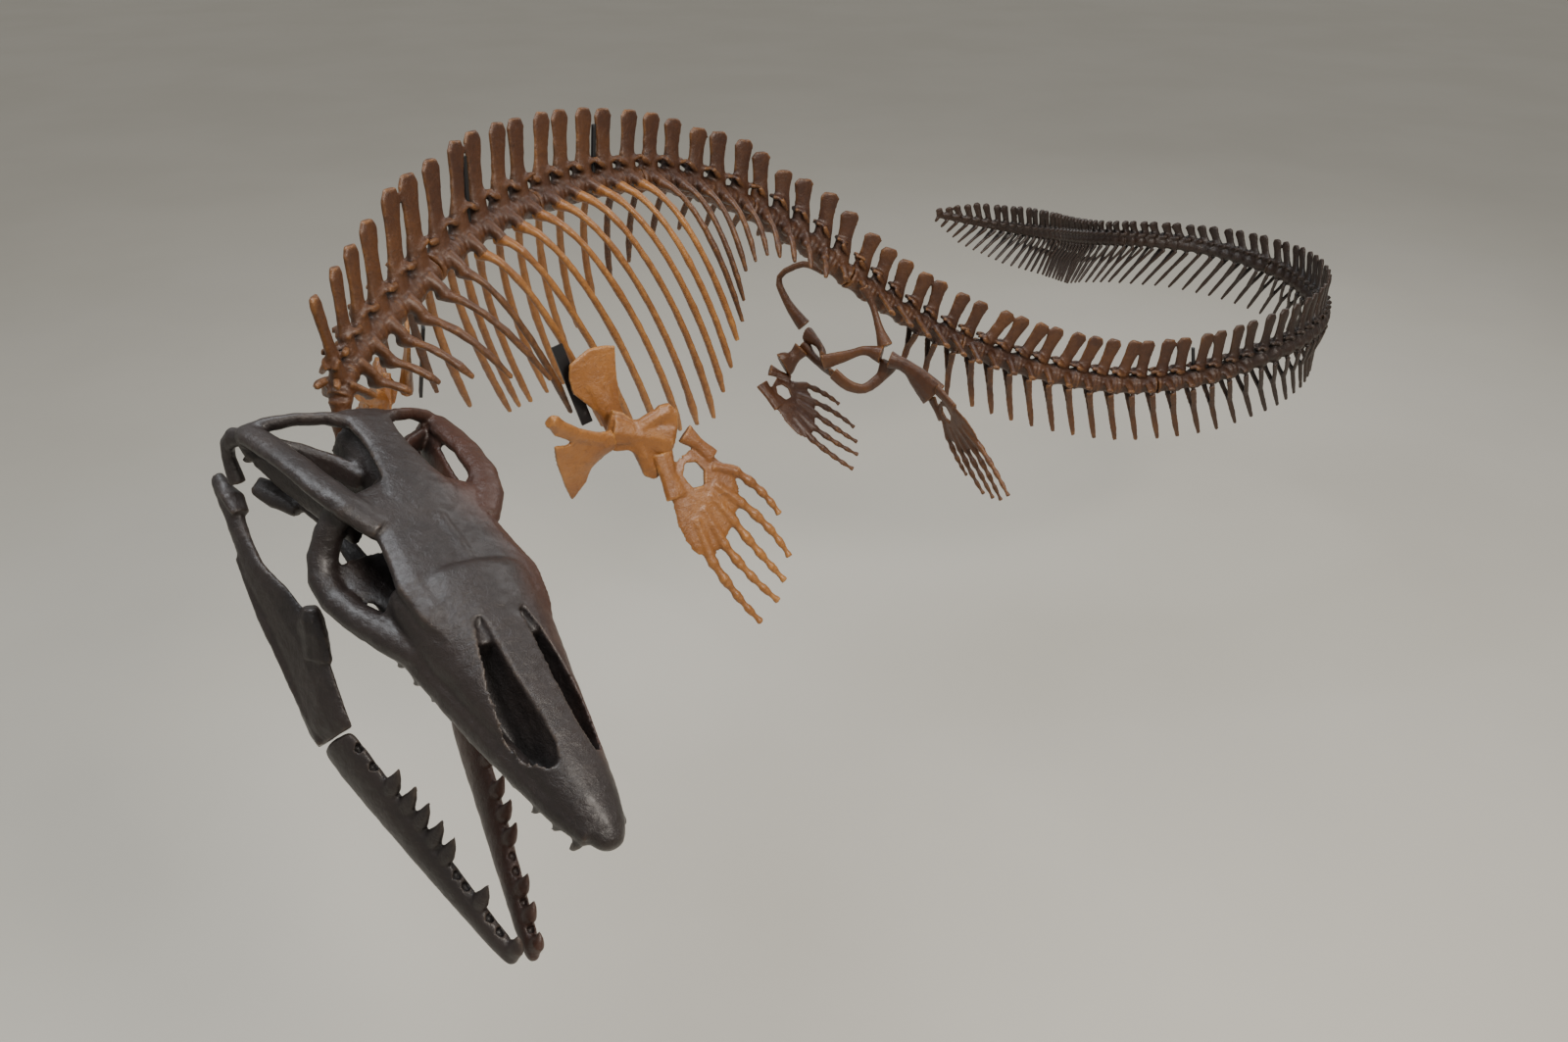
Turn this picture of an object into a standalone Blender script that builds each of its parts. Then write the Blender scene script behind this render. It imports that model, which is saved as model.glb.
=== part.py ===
"""Mounted skeleton of a mosasaur in a swimming pose, hung from steel studs in its back.

Metres, +Z up. The origin is the top of the middle hanger stud, above the back. The skull faces +X and -Y,
and the tail runs off to +X and turns back on itself.
"""
import math

import bmesh
import bpy
from mathutils import Vector

# Spine: vertebra number, then the middle of its centrum. Number -2 is the first neck bone, 108 the tail's last.
SPINE = (
    (-2, -0.263, -0.750, -0.263),
    (0, -0.264, -0.718, -0.198),
    (2, -0.252, -0.641, -0.167),
    (4, -0.225, -0.538, -0.143),
    (6, -0.187, -0.428, -0.113),
    (8, -0.150, -0.316, -0.099),
    (11, -0.080, -0.148, -0.097),
    (14, 0.008, 0.012, -0.109),
    (17, 0.118, 0.154, -0.143),
    (20, 0.246, 0.261, -0.215),
    (23, 0.376, 0.324, -0.309),
    (26, 0.506, 0.356, -0.419),
    (29, 0.638, 0.389, -0.517),
    (32, 0.773, 0.419, -0.595),
    (36, 0.963, 0.439, -0.667),
    (40, 1.163, 0.446, -0.703),
    (44, 1.358, 0.476, -0.695),
    (48, 1.533, 0.554, -0.673),
    (51, 1.648, 0.644, -0.665),
    (54, 1.733, 0.752, -0.665),
    (57, 1.791, 0.874, -0.671),
    (60, 1.816, 1.007, -0.675),
    (64, 1.806, 1.177, -0.678),
    (68, 1.726, 1.321, -0.673),
    (72, 1.603, 1.414, -0.667),
    (76, 1.456, 1.424, -0.653),
    (80, 1.328, 1.369, -0.631),
    (83, 1.248, 1.292, -0.607),
    (86, 1.193, 1.204, -0.579),
    (90, 1.131, 1.096, -0.543),
    (94, 1.068, 0.996, -0.507),
    (98, 0.991, 0.919, -0.475),
    (103, 0.876, 0.866, -0.441),
    (108, 0.750, 0.869, -0.418),
)
JOINT_GAP = 0.0003

# Sizes along the spine, as vertebra number and metres.
CENTRUM_R = ((-2, 0.015), (1, 0.020), (4, 0.024), (24, 0.027), (44, 0.025), (60, 0.023), (76, 0.019), (92, 0.013),
             (108, 0.005))
ARCH_TOP = ((-2, 0.030), (0, 0.045), (8, 0.056), (14, 0.046), (18, 0.045), (24, 0.055), (28, 0.040), (60, 0.030),
            (92, 0.022), (108, 0.009))
SPINE_TOP = (
    (0, 0.124), (2, 0.133), (4, 0.156), (6, 0.148), (8, 0.153), (12, 0.142), (16, 0.125), (18, 0.113), (20, 0.122),
    (22, 0.103), (24, 0.116), (27, 0.105), (34, 0.113), (48, 0.110), (60, 0.105), (66, 0.085), (72, 0.065),
    (80, 0.054), (98, 0.064), (104, 0.052), (108, 0.020),
)
SPINE_RAKE = (
    (0, 0.52), (2, 0.34), (5, 0.32), (8, 0.17), (12, 0.09), (16, -0.04), (18, -0.25), (20, -0.38), (22, -0.60),
    (24, -0.58), (26, -0.42), (30, -0.44), (33, -0.10), (48, -0.12), (54, -0.05), (62, 0.20), (70, 0.35),
    (108, 0.45),
)
SPINE_FIRST = 0
SPINE_HALF_WIDTH = 0.0055
PLAIN_SPINE_FIRST = 54
SIDE_REACH = ((-2, 0.028), (8, 0.040), (24, 0.044), (25, 0.075), (27, 0.115), (31, 0.105), (38, 0.055),
              (46, 0.036))
SIDE_LAST = 46
CENTRUM_FLAT = 0.92
CHEVRON_FIRST = 29
CHEVRON_DROP = (
    (29, 0.105), (31, 0.130), (36, 0.143), (40, 0.147), (47, 0.163), (54, 0.158), (60, 0.150), (72, 0.142),
    (84, 0.126), (98, 0.088), (104, 0.058), (108, 0.015),
)
CHEVRON_RAKE = (
    (29, 0.40), (32, 0.66), (36, 0.57), (39, 0.45), (42, 0.32), (48, 0.46), (60, 0.50), (70, 0.60), (108, 0.80),
)

# Ribs follow an ellipse: out by its width, down by its height, for a swept angle in degrees.
RIB_WIDTH = ((1, 0.130), (3, 0.170), (5, 0.165), (6, 0.115), (8, 0.115), (10, 0.160), (14, 0.190), (18, 0.175),
             (24, 0.120))
RIB_HEIGHT = ((1, 0.300), (5, 0.380), (8, 0.400), (12, 0.400), (16, 0.370), (24, 0.300))
RIB_SWEEP = (
    (1, 22), (3, 36), (5, 57), (6, 76), (7, 88), (8, 96), (10, 100), (12, 100), (13, 92), (14, 84), (15, 76),
    (16, 70), (17, 62), (18, 50), (20, 38), (24, 24),
)
RIB_BACK = ((1, 0.25), (6, 0.22), (8, 0.45), (24, 0.45))
RIB_DROP = ((1, 0.030), (6, 0.018), (12, 0.0), (24, 0.0))
RIB_FIRST, RIB_LAST = 1, 24
LONG_RIBS = range(7, 16)
RIB_R = 0.0075
RIB_STEPS = 7

# Stretches of touching vertebrae, each one node: name, first and last vertebra, sides of the centra.
STRETCHES = (
    ("neck_vertebrae", -2, 5, 6),
    ("back_vertebrae_front", 6, 10, 6),
    ("back_vertebrae_middle", 11, 15, 6),
    ("back_vertebrae_rear", 16, 20, 6),
    ("loin_vertebrae", 21, 25, 6),
    ("hip_vertebrae", 26, 31, 6),
    ("tail_vertebrae_root", 32, 41, 6),
    ("tail_vertebrae_middle", 42, 53, 6),
    ("tail_vertebrae_bend", 54, 65, 6),
    ("tail_vertebrae_far", 66, 78, 4),
    ("tail_vertebrae_return", 79, 92, 4),
    ("tail_vertebrae_tip", 93, 108, 4),
)

# Head frame: forward, left and up, and where its own zero lies. Its units make the skull 70 long.
HEAD_AT = Vector((-0.266, -0.781, -0.299))
HEAD_FORWARD = Vector((0.608, -0.719, -0.336))
HEAD_LEFT = Vector((0.670, 0.692, -0.269))
HEAD_UP = Vector((0.426, -0.062, 0.903))
HEAD_UNIT = Vector((0.0096, 0.0089, 0.0084))

# Each mandible's socket, and its own directions forward and up. The two open at slightly different angles.
JAWS = {
    1: (Vector((-0.201, -0.672, -0.383)), Vector((0.306, -0.763, -0.569)), Vector((0.579, -0.325, 0.748))),
    -1: (Vector((-0.375, -0.861, -0.305)), Vector((0.531, -0.519, -0.670)), Vector((0.670, -0.227, 0.707))),
}

BONE = (0.42, 0.24, 0.10)
DARK_BONE = (0.10, 0.07, 0.055)
GOLD_BONE = (0.62, 0.36, 0.13)
STEEL = (0.05, 0.05, 0.055)


def clear_scene():
    for thing in list(bpy.data.objects):
        bpy.data.objects.remove(thing)


def collection(name):
    made = bpy.data.collections.new(name)
    bpy.context.scene.collection.children.link(made)
    return made


def material(name, colour, roughness=0.45, metallic=0.0):
    made = bpy.data.materials.new(name)
    made.use_nodes = True
    shader = made.node_tree.nodes["Principled BSDF"]
    shader.inputs["Base Color"].default_value = (*colour, 1.0)
    shader.inputs["Roughness"].default_value = roughness
    shader.inputs["Metallic"].default_value = metallic
    return made


def ramp(at, table):
    """The value at a vertebra number, on straight lines between the table's entries."""
    if at <= table[0][0]:
        return table[0][1]
    for (low, first), (high, last) in zip(table, table[1:]):
        if at <= high:
            return first + (last - first) * (at - low) / (high - low)
    return table[-1][1]


def spine_slope(k):
    before, after = SPINE[max(k - 1, 0)], SPINE[min(k + 1, len(SPINE) - 1)]
    return (Vector(after[1:]) - Vector(before[1:])) / (after[0] - before[0])


def spine_point(at):
    """A point on the smooth line through the middles of the vertebrae."""
    k = 0
    while k < len(SPINE) - 2 and at > SPINE[k + 1][0]:
        k += 1
    start, end = SPINE[k], SPINE[k + 1]
    span = end[0] - start[0]
    u = (at - start[0]) / span
    curve = (2 * u**3 - 3 * u**2 + 1) * Vector(start[1:]) + (3 * u**2 - 2 * u**3) * Vector(end[1:])
    curve += (u**3 - 2 * u**2 + u) * span * spine_slope(k)
    curve += (u**3 - u**2) * span * spine_slope(k + 1)
    return curve


def spine_frame(at):
    """Middle, and the directions to the back, the left side and up, for a vertebra."""
    back = (spine_point(at + 0.3) - spine_point(at - 0.3)).normalized()
    up = Vector((0, 0, 1)) - back * back.z
    up.normalize()
    return spine_point(at), back, back.cross(up), up


def pitch(at):
    return (spine_point(at + 0.5) - spine_point(at - 0.5)).length


def rib_point(number, side, u):
    """A point on a rib's arc, from its root at 0 to its tip at 1. Side is 1 on the left and -1 on the right."""
    middle, back, left, up = spine_frame(number)
    angle = math.radians(ramp(number, RIB_SWEEP)) * u
    out = ramp(number, SIDE_REACH) + ramp(number, RIB_WIDTH) * math.sin(angle) * 0.85
    down = ramp(number, RIB_HEIGHT) * (1 - math.cos(angle))
    drift = ramp(number, RIB_BACK) * down
    return middle + left * side * out - up * (down + ramp(number, RIB_DROP)) + back * drift


def mesh_object(name, bm, home, skin):
    bmesh.ops.recalc_face_normals(bm, faces=bm.faces[:])
    mesh = bpy.data.meshes.new(name)
    bm.to_mesh(mesh)
    bm.free()
    mesh.materials.append(skin)
    made = bpy.data.objects.new(name, mesh)
    home.objects.link(made)
    return made


def ring(middle, across, over, half_across, half_over, sides, turn=0.0):
    points = []
    for k in range(sides):
        angle = turn + math.tau * k / sides
        points.append(middle + across * half_across * math.cos(angle) + over * half_over * math.sin(angle))
    return points


def loft_mesh(rings):
    """A closed body through rings that have the same number of points."""
    bm = bmesh.new()
    rows = [[bm.verts.new(p) for p in points] for points in rings]
    count = len(rows[0])
    for low, high in zip(rows, rows[1:]):
        for k in range(count):
            bm.faces.new((low[k], low[(k + 1) % count], high[(k + 1) % count], high[k]))
    bm.faces.new(rows[0][::-1])
    bm.faces.new(rows[-1])
    bmesh.ops.recalc_face_normals(bm, faces=bm.faces[:])
    return bm


def bar_rings(points, halves, over, sides, turn):
    """Rings along a line of points. Halves are (across, over) for each point."""
    rings = []
    last = len(points) - 1
    for k, point in enumerate(points):
        along = (points[min(k + 1, last)] - points[max(k - 1, 0)]).normalized()
        rise = (over - along * over.dot(along)).normalized()
        rings.append(ring(point, along.cross(rise), rise, halves[k][0], halves[k][1], sides, turn))
    return rings


def bar(name, points, halves, over, home, skin, sides=6, turn=0.0):
    return mesh_object(name, loft_mesh(bar_rings(points, halves, over, sides, turn)), home, skin)


def plate(name, origin, along, across, outline, half_thick, home, skin):
    """A flat bone: an outline of (along, across) points with thickness both ways."""
    face = along.cross(across).normalized()
    flat = [origin + along * a + across * b for a, b in outline]
    rings = [[p - face * half_thick for p in flat], [p + face * half_thick for p in flat]]
    return mesh_object(name, loft_mesh(rings), home, skin)


def grow(bm, face, centres, halves, first, second):
    """Grows a face outwards in steps. Each step is a quad round a centre, along two directions."""
    for centre, (half_first, half_second) in zip(centres, halves):
        face = bmesh.ops.extrude_discrete_faces(bm, faces=[face])["faces"][0]
        middle = face.calc_center_median()
        for vert in face.verts:
            offset = vert.co - middle
            sign_first = 1 if offset.dot(first) > 0 else -1
            sign_second = 1 if offset.dot(second) > 0 else -1
            vert.co = centre + first * sign_first * half_first + second * sign_second * half_second


def facing(bm, middle, direction, near):
    """The quad close to a point whose outside faces a direction best. The nearer one wins between two alike."""
    best = None
    for face in bm.faces:
        distance = (face.calc_center_median() - middle).length
        if len(face.verts) != 4 or distance > near:
            continue
        score = face.normal.dot(direction) - 0.5 * distance / near
        if best is None or score > best[0]:
            best = (score, face)
    return best[1]


def grow_spine(bm, number):
    middle, back, left, up = spine_frame(number)
    step = pitch(number)
    rake = ramp(number, SPINE_RAKE)
    arch, top = ramp(number, ARCH_TOP), ramp(number, SPINE_TOP)
    face = facing(bm, middle + up * ramp(number, CENTRUM_R), up, step * 0.4)
    centres = [middle + up * h + back * rake * h for h in (arch, top)]
    halves = [(step * 0.37, 0.011), (step * 0.35, SPINE_HALF_WIDTH)]
    if number >= PLAIN_SPINE_FIRST:
        centres, halves = centres[1:], halves[1:]
    grow(bm, face, centres, halves, back, left)


def grow_chevron(bm, number):
    middle, back, left, up = spine_frame(number)
    step = pitch(number)
    drop = ramp(number, CHEVRON_DROP)
    rake = ramp(number, CHEVRON_RAKE)
    radius = ramp(number, CENTRUM_R)
    face = facing(bm, middle - up * radius, -up, step * 0.4)
    centre = middle - up * drop + back * rake * drop
    grow(bm, face, [centre], [(step * 0.10, 0.005)], back, left)


def grow_side(bm, number, side):
    """The process on a vertebra's side, and the short rib on it where the rib is no piece of its own."""
    middle, back, left, up = spine_frame(number)
    out = left * side
    step = pitch(number)
    reach = ramp(number, SIDE_REACH)
    face = facing(bm, middle + out * ramp(number, CENTRUM_R), (out + up * 0.35).normalized(), step * 0.4)
    drop = ramp(number, RIB_DROP)
    centres = [middle + out * reach - up * drop]
    halves = [(step * 0.18, 0.010)]
    if RIB_FIRST <= number <= RIB_LAST and number not in LONG_RIBS:
        steps = 5 if number in (6, 16, 17, 18) else 3
        for k in range(1, steps + 1):
            centres.append(rib_point(number, side, k / steps))
            halves.append((RIB_R, RIB_R * (1.0 if k < steps else 0.7)))
        grow_rib_face(bm, face, centres, halves, back, side, number)
        return
    grow(bm, face, centres, halves, back, up)


def grow_rib_face(bm, face, centres, halves, back, side, number):
    """Grows a short rib, each step square to the rib's own line."""
    _, _, left, up = spine_frame(number)
    for k, (centre, half) in enumerate(zip(centres, halves)):
        before = centres[max(k - 1, 0)]
        after = centres[min(k + 1, len(centres) - 1)]
        line = (after - before).normalized() if k else left * side
        rise = up - line * up.dot(line)
        if rise.length < 0.2:
            rise = -left * side
        face = bmesh.ops.extrude_discrete_faces(bm, faces=[face])["faces"][0]
        middle = face.calc_center_median()
        tilt = rise.normalized()
        for vert in face.verts:
            offset = vert.co - middle
            sign_back = 1 if offset.dot(back) > 0 else -1
            sign_up = 1 if offset.dot(tilt) > 0 else -1
            vert.co = centre + back * sign_back * half[0] + tilt * sign_up * half[1]


def vertebrae(name, first, last, sides, home, skin):
    """A stretch of touching vertebrae: centra with flat tops, and all their processes."""
    turn = math.pi / 4 if sides == 4 else 0.0
    rings = []
    for number in range(first, last + 1):
        radius = ramp(number, CENTRUM_R) * CENTRUM_FLAT
        half = 0.5 - JOINT_GAP / pitch(number) if number in (first, last) else 0.5
        start = number - (half if number == first else 0.34)
        end = number + (half if number == last else 0.34)
        for at in (start, end):
            middle, _, left, up = spine_frame(at)
            rings.append(ring(middle, left, up, radius, radius, sides, turn))
    bm = loft_mesh(rings)
    for number in range(max(first, SPINE_FIRST), last + 1):
        grow_spine(bm, number)
        if number <= SIDE_LAST:
            grow_side(bm, number, 1)
            grow_side(bm, number, -1)
        if number >= CHEVRON_FIRST:
            grow_chevron(bm, number)
    return mesh_object(name, bm, home, skin)


def long_rib(number, side, home, skin):
    """A long curved rib, whose root faces the vertebra's side process."""
    middle, back, left, up = spine_frame(number)
    root = rib_point(number, side, 0) + left * side * JOINT_GAP
    points = [root] + [rib_point(number, side, k / RIB_STEPS) for k in range(1, RIB_STEPS + 1)]
    halves = [(pitch(number) * 0.16, 0.010)] + [(RIB_R * 1.1, RIB_R)] * (RIB_STEPS - 1)
    halves.append((RIB_R * 0.7, RIB_R * 0.7))
    rings = []
    for k, point in enumerate(points):
        line = left * side if k == 0 else (points[min(k + 1, RIB_STEPS)] - points[k - 1]).normalized()
        over = line.cross(back) * side
        rings.append(ring(point, back, over.normalized(), *halves[k], 4, math.pi / 4))
    word = "left" if side > 0 else "right"
    return mesh_object(f"rib_{number - 6}_{word}", loft_mesh(rings), home, skin)


def head(x, y, z):
    """A point given in the skull's own units."""
    return (
        HEAD_AT
        + HEAD_FORWARD * x * HEAD_UNIT.x
        + HEAD_LEFT * y * HEAD_UNIT.y
        + HEAD_UP * z * HEAD_UNIT.z
    )


def head_section(x, half_width, low, high):
    """Eight points round the skull at one place along it, flat below and rounded above."""
    middle = low + (high - low) * 0.45
    outline = (
        (0.55, low), (0.9, low + (high - low) * 0.12), (1.0, middle), (0.62, high - (high - low) * 0.08),
        (-0.62, high - (high - low) * 0.08), (-1.0, middle), (-0.9, low + (high - low) * 0.12), (-0.55, low),
    )
    return [head(x, half_width * y, z) for y, z in outline]


def head_bar(name, points, halves, home, skin, sides=6):
    line = [head(*p) for p in points]
    return bar(name, line, halves, HEAD_UP, home, skin, sides)


def add_boolean(target, tool, operation):
    step = target.modifiers.new(f"{operation.lower()} {tool.name}", "BOOLEAN")
    step.operation = operation
    step.object = tool
    tool.hide_render = True
    tool.display_type = "WIRE"


def skull(home, tools, skin):
    snout = loft_mesh([
        head_section(70.0, 1.4, 0.8, 3.2),
        head_section(66.0, 3.4, 0.4, 5.2),
        head_section(58.0, 5.6, 0.2, 7.2),
        head_section(48.0, 7.7, 0.2, 9.6),
        head_section(38.0, 10.1, 0.4, 12.0),
        head_section(32.0, 11.0, 1.0, 13.2),
        head_section(28.0, 10.6, 6.0, 13.8),
        head_section(20.0, 8.6, 10.6, 14.4),
        head_section(15.0, 3.6, 8.0, 14.4),
        head_section(8.0, 3.2, 3.2, 14.2),
        head_section(1.0, 4.0, 3.0, 14.0),
    ])
    made = mesh_object("skull", snout, home, skin)
    for side in (1, -1):
        for tool in skull_bars(side, tools, skin):
            add_boolean(made, tool, "UNION")
        for tool in upper_teeth(side, tools, skin):
            add_boolean(made, tool, "UNION")
        slot = [(41.0, side * 2.4, 13.0), (50.0, side * 2.6, 11.0), (59.5, side * 2.6, 8.5)]
        cutter = head_bar("nostril cut", slot, [(0.007, 0.040), (0.010, 0.045), (0.006, 0.036)], tools, skin)
        add_boolean(made, cutter, "DIFFERENCE")
    condyle = head_bar("condyle", [(2.0, 0, 5.4), (-0.2, 0, 5.0)], [(0.018, 0.018), (0.013, 0.013)], tools, skin)
    add_boolean(made, condyle, "UNION")
    return made


def skull_bars(side, tools, skin):
    """The arches round the temple openings and the eye, on one side."""
    s = side
    corner = (-2, 15.2 * s, 7.6)
    arcade = [(21, 7.6 * s, 12.2), (15, 11.8 * s, 12.6), (7, 13.8 * s, 11.4), (1, 14.8 * s, 9.2), corner]
    rear = [(2, 2.5 * s, 13.0), (0, 7.5 * s, 11.8), (-1.6, 12.2 * s, 9.8), corner]
    cheek = [(35, 9.6 * s, 2.0), (28, 12.4 * s, 0.4), (21, 13.6 * s, 1.0), (18, 12.8 * s, 5.0)]
    cheek.append((17, 11.2 * s, 12.2))
    palate = [(34, 4.5 * s, 2.4), (18, 6.0 * s, 0.8), (7, 8.5 * s, 0.6), (1.5, 12.0 * s, -0.6)]
    wall = [(10, 2.6 * s, 6.0), (4, 4.0 * s, 5.4), (0, 8.6 * s, 6.8), (-1.2, 13.4 * s, 7.2)]
    lines = (
        ("arcade", arcade, 0.016, 0.009),
        ("rear bar", rear, 0.009, 0.010),
        ("cheek", cheek, 0.008, 0.008),
        ("palate bar", palate, 0.007, 0.006),
        ("ear bar", wall, 0.009, 0.009),
    )
    return [head_bar(name, pts, [(a, b)] * len(pts), tools, skin) for name, pts, a, b in lines]


def tooth(name, root, point, radius, tools, skin, across):
    halves = [(radius, radius), (radius * 0.15, radius * 0.15)]
    return bar(name, [root, point], halves, across, tools, skin, 4)


def upper_teeth(side, tools, skin):
    made = []
    count = 11
    for k in range(count):
        x = 67.0 - 33.0 * k / (count - 1)
        y = side * (2.2 + 6.9 * k / (count - 1))
        root, point = head(x, y, 2.2), head(x - 0.8, y + side * 0.5, -2.2)
        made.append(tooth("upper tooth", root, point, 0.0075, tools, skin, HEAD_FORWARD))
    return made


def jaw_frame(side):
    """Where a mandible starts, and its directions forward, to the left and up."""
    start, forward, up = JAWS[side]
    forward = forward.normalized()
    left = up.cross(forward).normalized()
    return start, forward, left, forward.cross(left)


def jaw_point(side, x, z):
    """A point on a mandible, so far along it and so high, in centimetres, on its bent middle line."""
    start, forward, left, up = jaw_frame(side)
    sideways = ramp(x, JAW_SHIFT) + side * ramp(x, JAW_BOW)
    return start + (forward * x + up * (z - ramp(x, JAW_SAG)) + left * sideways) * 0.01


def jaw_body(side, stations):
    """A mandible's half from (along, height, half thickness, half height) in centimetres."""
    _, _, left, up = jaw_frame(side)
    return loft_mesh([ring(jaw_point(side, x, z), left, up, a * 0.01, b * 0.01, 8) for x, z, a, b in stations])


# How far the mandibles hang down, lean to the left and bow outwards, along their length. All in centimetres.
JAW_SAG = ((0, 0.0), (36, 3.3), (69, 0.0))
JAW_SHIFT = ((-5, 0.0), (9, -0.7), (30, -0.5), (36, -0.2), (49, 1.05), (60, 1.7), (69, 2.35))
JAW_BOW = ((-5, 0.0), (9, 1.3), (24, 1.1), (30, 1.7), (36, 1.5), (49, 0.9), (60, 0.25), (69, -0.2))
REAR_JAW = (
    (-5.0, -0.9, 0.7, 1.2), (-1.0, -0.3, 1.3, 1.7), (4.0, -0.6, 0.9, 1.8), (12.0, -0.4, 1.0, 3.0),
    (17.0, 0.6, 1.0, 4.3), (21.0, 0.2, 1.0, 4.3), (27.0, -0.3, 1.1, 4.0), (32.97, -0.6, 1.0, 3.8),
)
DENTARY = (
    (33.0, -0.6, 1.1, 3.8), (44.0, -0.7, 1.3, 3.2), (55.0, -0.9, 1.3, 2.5), (64.0, -0.8, 1.2, 1.8),
    (69.2, -0.7, 0.9, 1.2),
)
LOWER_TEETH = 11


def mandibles(side, home, tools, skin):
    word = "left" if side > 0 else "right"
    left = jaw_frame(side)[2]
    mesh_object(f"mandible_rear_{word}", jaw_body(side, REAR_JAW), home, skin)
    made = mesh_object(f"dentary_{word}", jaw_body(side, DENTARY), home, skin)
    for k in range(LOWER_TEETH):
        x = 35.5 + 32.0 * k / (LOWER_TEETH - 1)
        top = 2.7 - 2.1 * k / (LOWER_TEETH - 1)
        root, point = jaw_point(side, x, top - 1.3), jaw_point(side, x - 0.8, top + 3.3)
        add_boolean(made, tooth("lower tooth", root, point, 0.0085, tools, skin, left), "UNION")


def quadrate(side, home, skin):
    """The bowed bone that hangs the jaw from the skull."""
    curve = ((-2.8, 15.6, 5.8), (-4.2, 15.8, 3.2), (-3.4, 15.4, 0.8), (-1.6, 14.6, -1.4))
    points = [head(x, y * side, z) for x, y, z in curve]
    halves = [(0.013, 0.011), (0.014, 0.010), (0.013, 0.010), (0.012, 0.010)]
    bar(f"quadrate_{'left' if side > 0 else 'right'}", points, halves, HEAD_FORWARD, home, skin)


CHEST = 8


def chest(side, out, up, back):
    """A point beside the chest vertebra: out to a side, up and back."""
    middle, to_back, left, to_up = spine_frame(CHEST)
    return middle + left * side * out + to_up * up + to_back * back


def chest_way(side, out, up, back):
    return (chest(side, out, up, back) - spine_point(CHEST)).normalized()


def shoulder(side, home, tools, skin, steel):
    word = "left" if side > 0 else "right"
    along = chest_way(side, 0.10, -0.42, 0.0)
    across = chest_way(side, 0.42, 0.10, 0.55)
    across = (across - along * across.dot(along)).normalized()
    top = chest(side, 0.181, -0.195, -0.002)
    blade = ((0.0, -0.040), (-0.012, 0.0), (0.0, 0.045), (0.055, 0.030), (0.095, 0.022), (0.118, 0.0),
             (0.090, -0.026), (0.050, -0.050))
    plate(f"scapula_{word}", top, along, across, blade, 0.006, home, skin)
    low = chest(side, 0.226, -0.325, -0.050)
    inward = chest_way(side, -0.35, -0.30, -0.55)
    wide = chest_way(side, 0.0, -0.8, 0.35)
    wide = (wide - inward * wide.dot(inward)).normalized()
    fan = ((0.0, -0.022), (0.033, -0.061), (0.050, -0.099), (0.058, -0.138), (0.072, -0.126), (0.074, -0.098),
           (0.055, -0.062), (0.084, -0.080), (0.100, -0.020), (0.108, 0.051), (0.048, 0.018), (0.017, 0.036),
           (0.0, 0.020))
    plate(f"coracoid_{word}", low, inward, wide, fan, 0.006, home, skin)
    arm = ((0.236, -0.316, -0.028), (0.264, -0.330, -0.004), (0.299, -0.350, 0.025))
    points = [chest(side, *p) for p in arm]
    halves = [(0.030, 0.018), (0.021, 0.013), (0.040, 0.014)]
    bar(f"humerus_{word}", points, halves, across.cross(along), home, skin, 8)
    strut = [chest(side, 0.130, -0.176, -0.022), chest(side, 0.168, -0.316, -0.018)]
    face = along.cross(across)
    bar(f"shoulder_strut_{word}", strut, [(0.014, 0.004)] * 2, face, home, steel, 4, math.pi / 4)


PALM = (
    (0.006, 0.022), (0.040, 0.040), (0.108, 0.062), (0.158, 0.030), (0.182, -0.026), (0.207, -0.090),
    (0.165, -0.112), (0.102, -0.100), (0.055, -0.074), (0.006, -0.042),
)
WRIST_HOLE = ((0.030, -0.012), (0.042, 0.004), (0.062, 0.006), (0.082, -0.010), (0.072, -0.030), (0.044, -0.030))
DIGITS = (
    ((0.098, 0.050), (0.160, 0.074), (0.216, 0.068)),
    ((0.145, 0.022), (0.220, 0.044), (0.287, 0.034)),
    ((0.160, -0.008), (0.243, -0.008), (0.314, -0.001)),
    ((0.178, -0.048), (0.263, -0.050), (0.333, -0.034)),
    ((0.190, -0.084), (0.272, -0.092), (0.339, -0.084)),
)
PHALANGES = 4
FINGER_R = 0.0085


def paddle(name, origin, along, across, size, home, tools, skin):
    """Forearm, wrist and five fingers in one plane, pressed close like the real fin."""
    over = along.cross(across).normalized()
    outline = [(a * size, b * size) for a, b in PALM]
    made = plate(name, origin, along, across, outline, 0.0075 * size, home, skin)
    gap = [(a * size, b * size) for a, b in WRIST_HOLE]
    hole = plate("wrist cut", origin, along, across, gap, 0.02, tools, skin)
    add_boolean(made, hole, "DIFFERENCE")
    for start, bend, tip in DIGITS:
        points, halves = [], []
        for k in range(PHALANGES + 1):
            u = k / PHALANGES
            a = (1 - u) ** 2 * start[0] + 2 * u * (1 - u) * bend[0] + u**2 * tip[0]
            b = (1 - u) ** 2 * start[1] + 2 * u * (1 - u) * bend[1] + u**2 * tip[1]
            points.append(origin + (along * a + across * b) * size)
            thick = FINGER_R * (1.15 - 0.45 * u) * size
            halves.append((thick, thick * 0.75))
        finger = bar("finger", points, halves, over, tools, skin, 4, math.pi / 4)
        add_boolean(made, finger, "UNION")
    return made


def fore_paddle(side, home, tools, skin):
    word = "left" if side > 0 else "right"
    along = chest_way(side, 0.59, -0.805, 0.04)
    across = chest_way(side, 0.422, 0.354, 0.833)
    across = (across - along * across.dot(along)).normalized()
    paddle(f"fore_paddle_{word}", chest(side, 0.313, -0.362, 0.036), along, across, 1.0, home, tools, skin)


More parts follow.
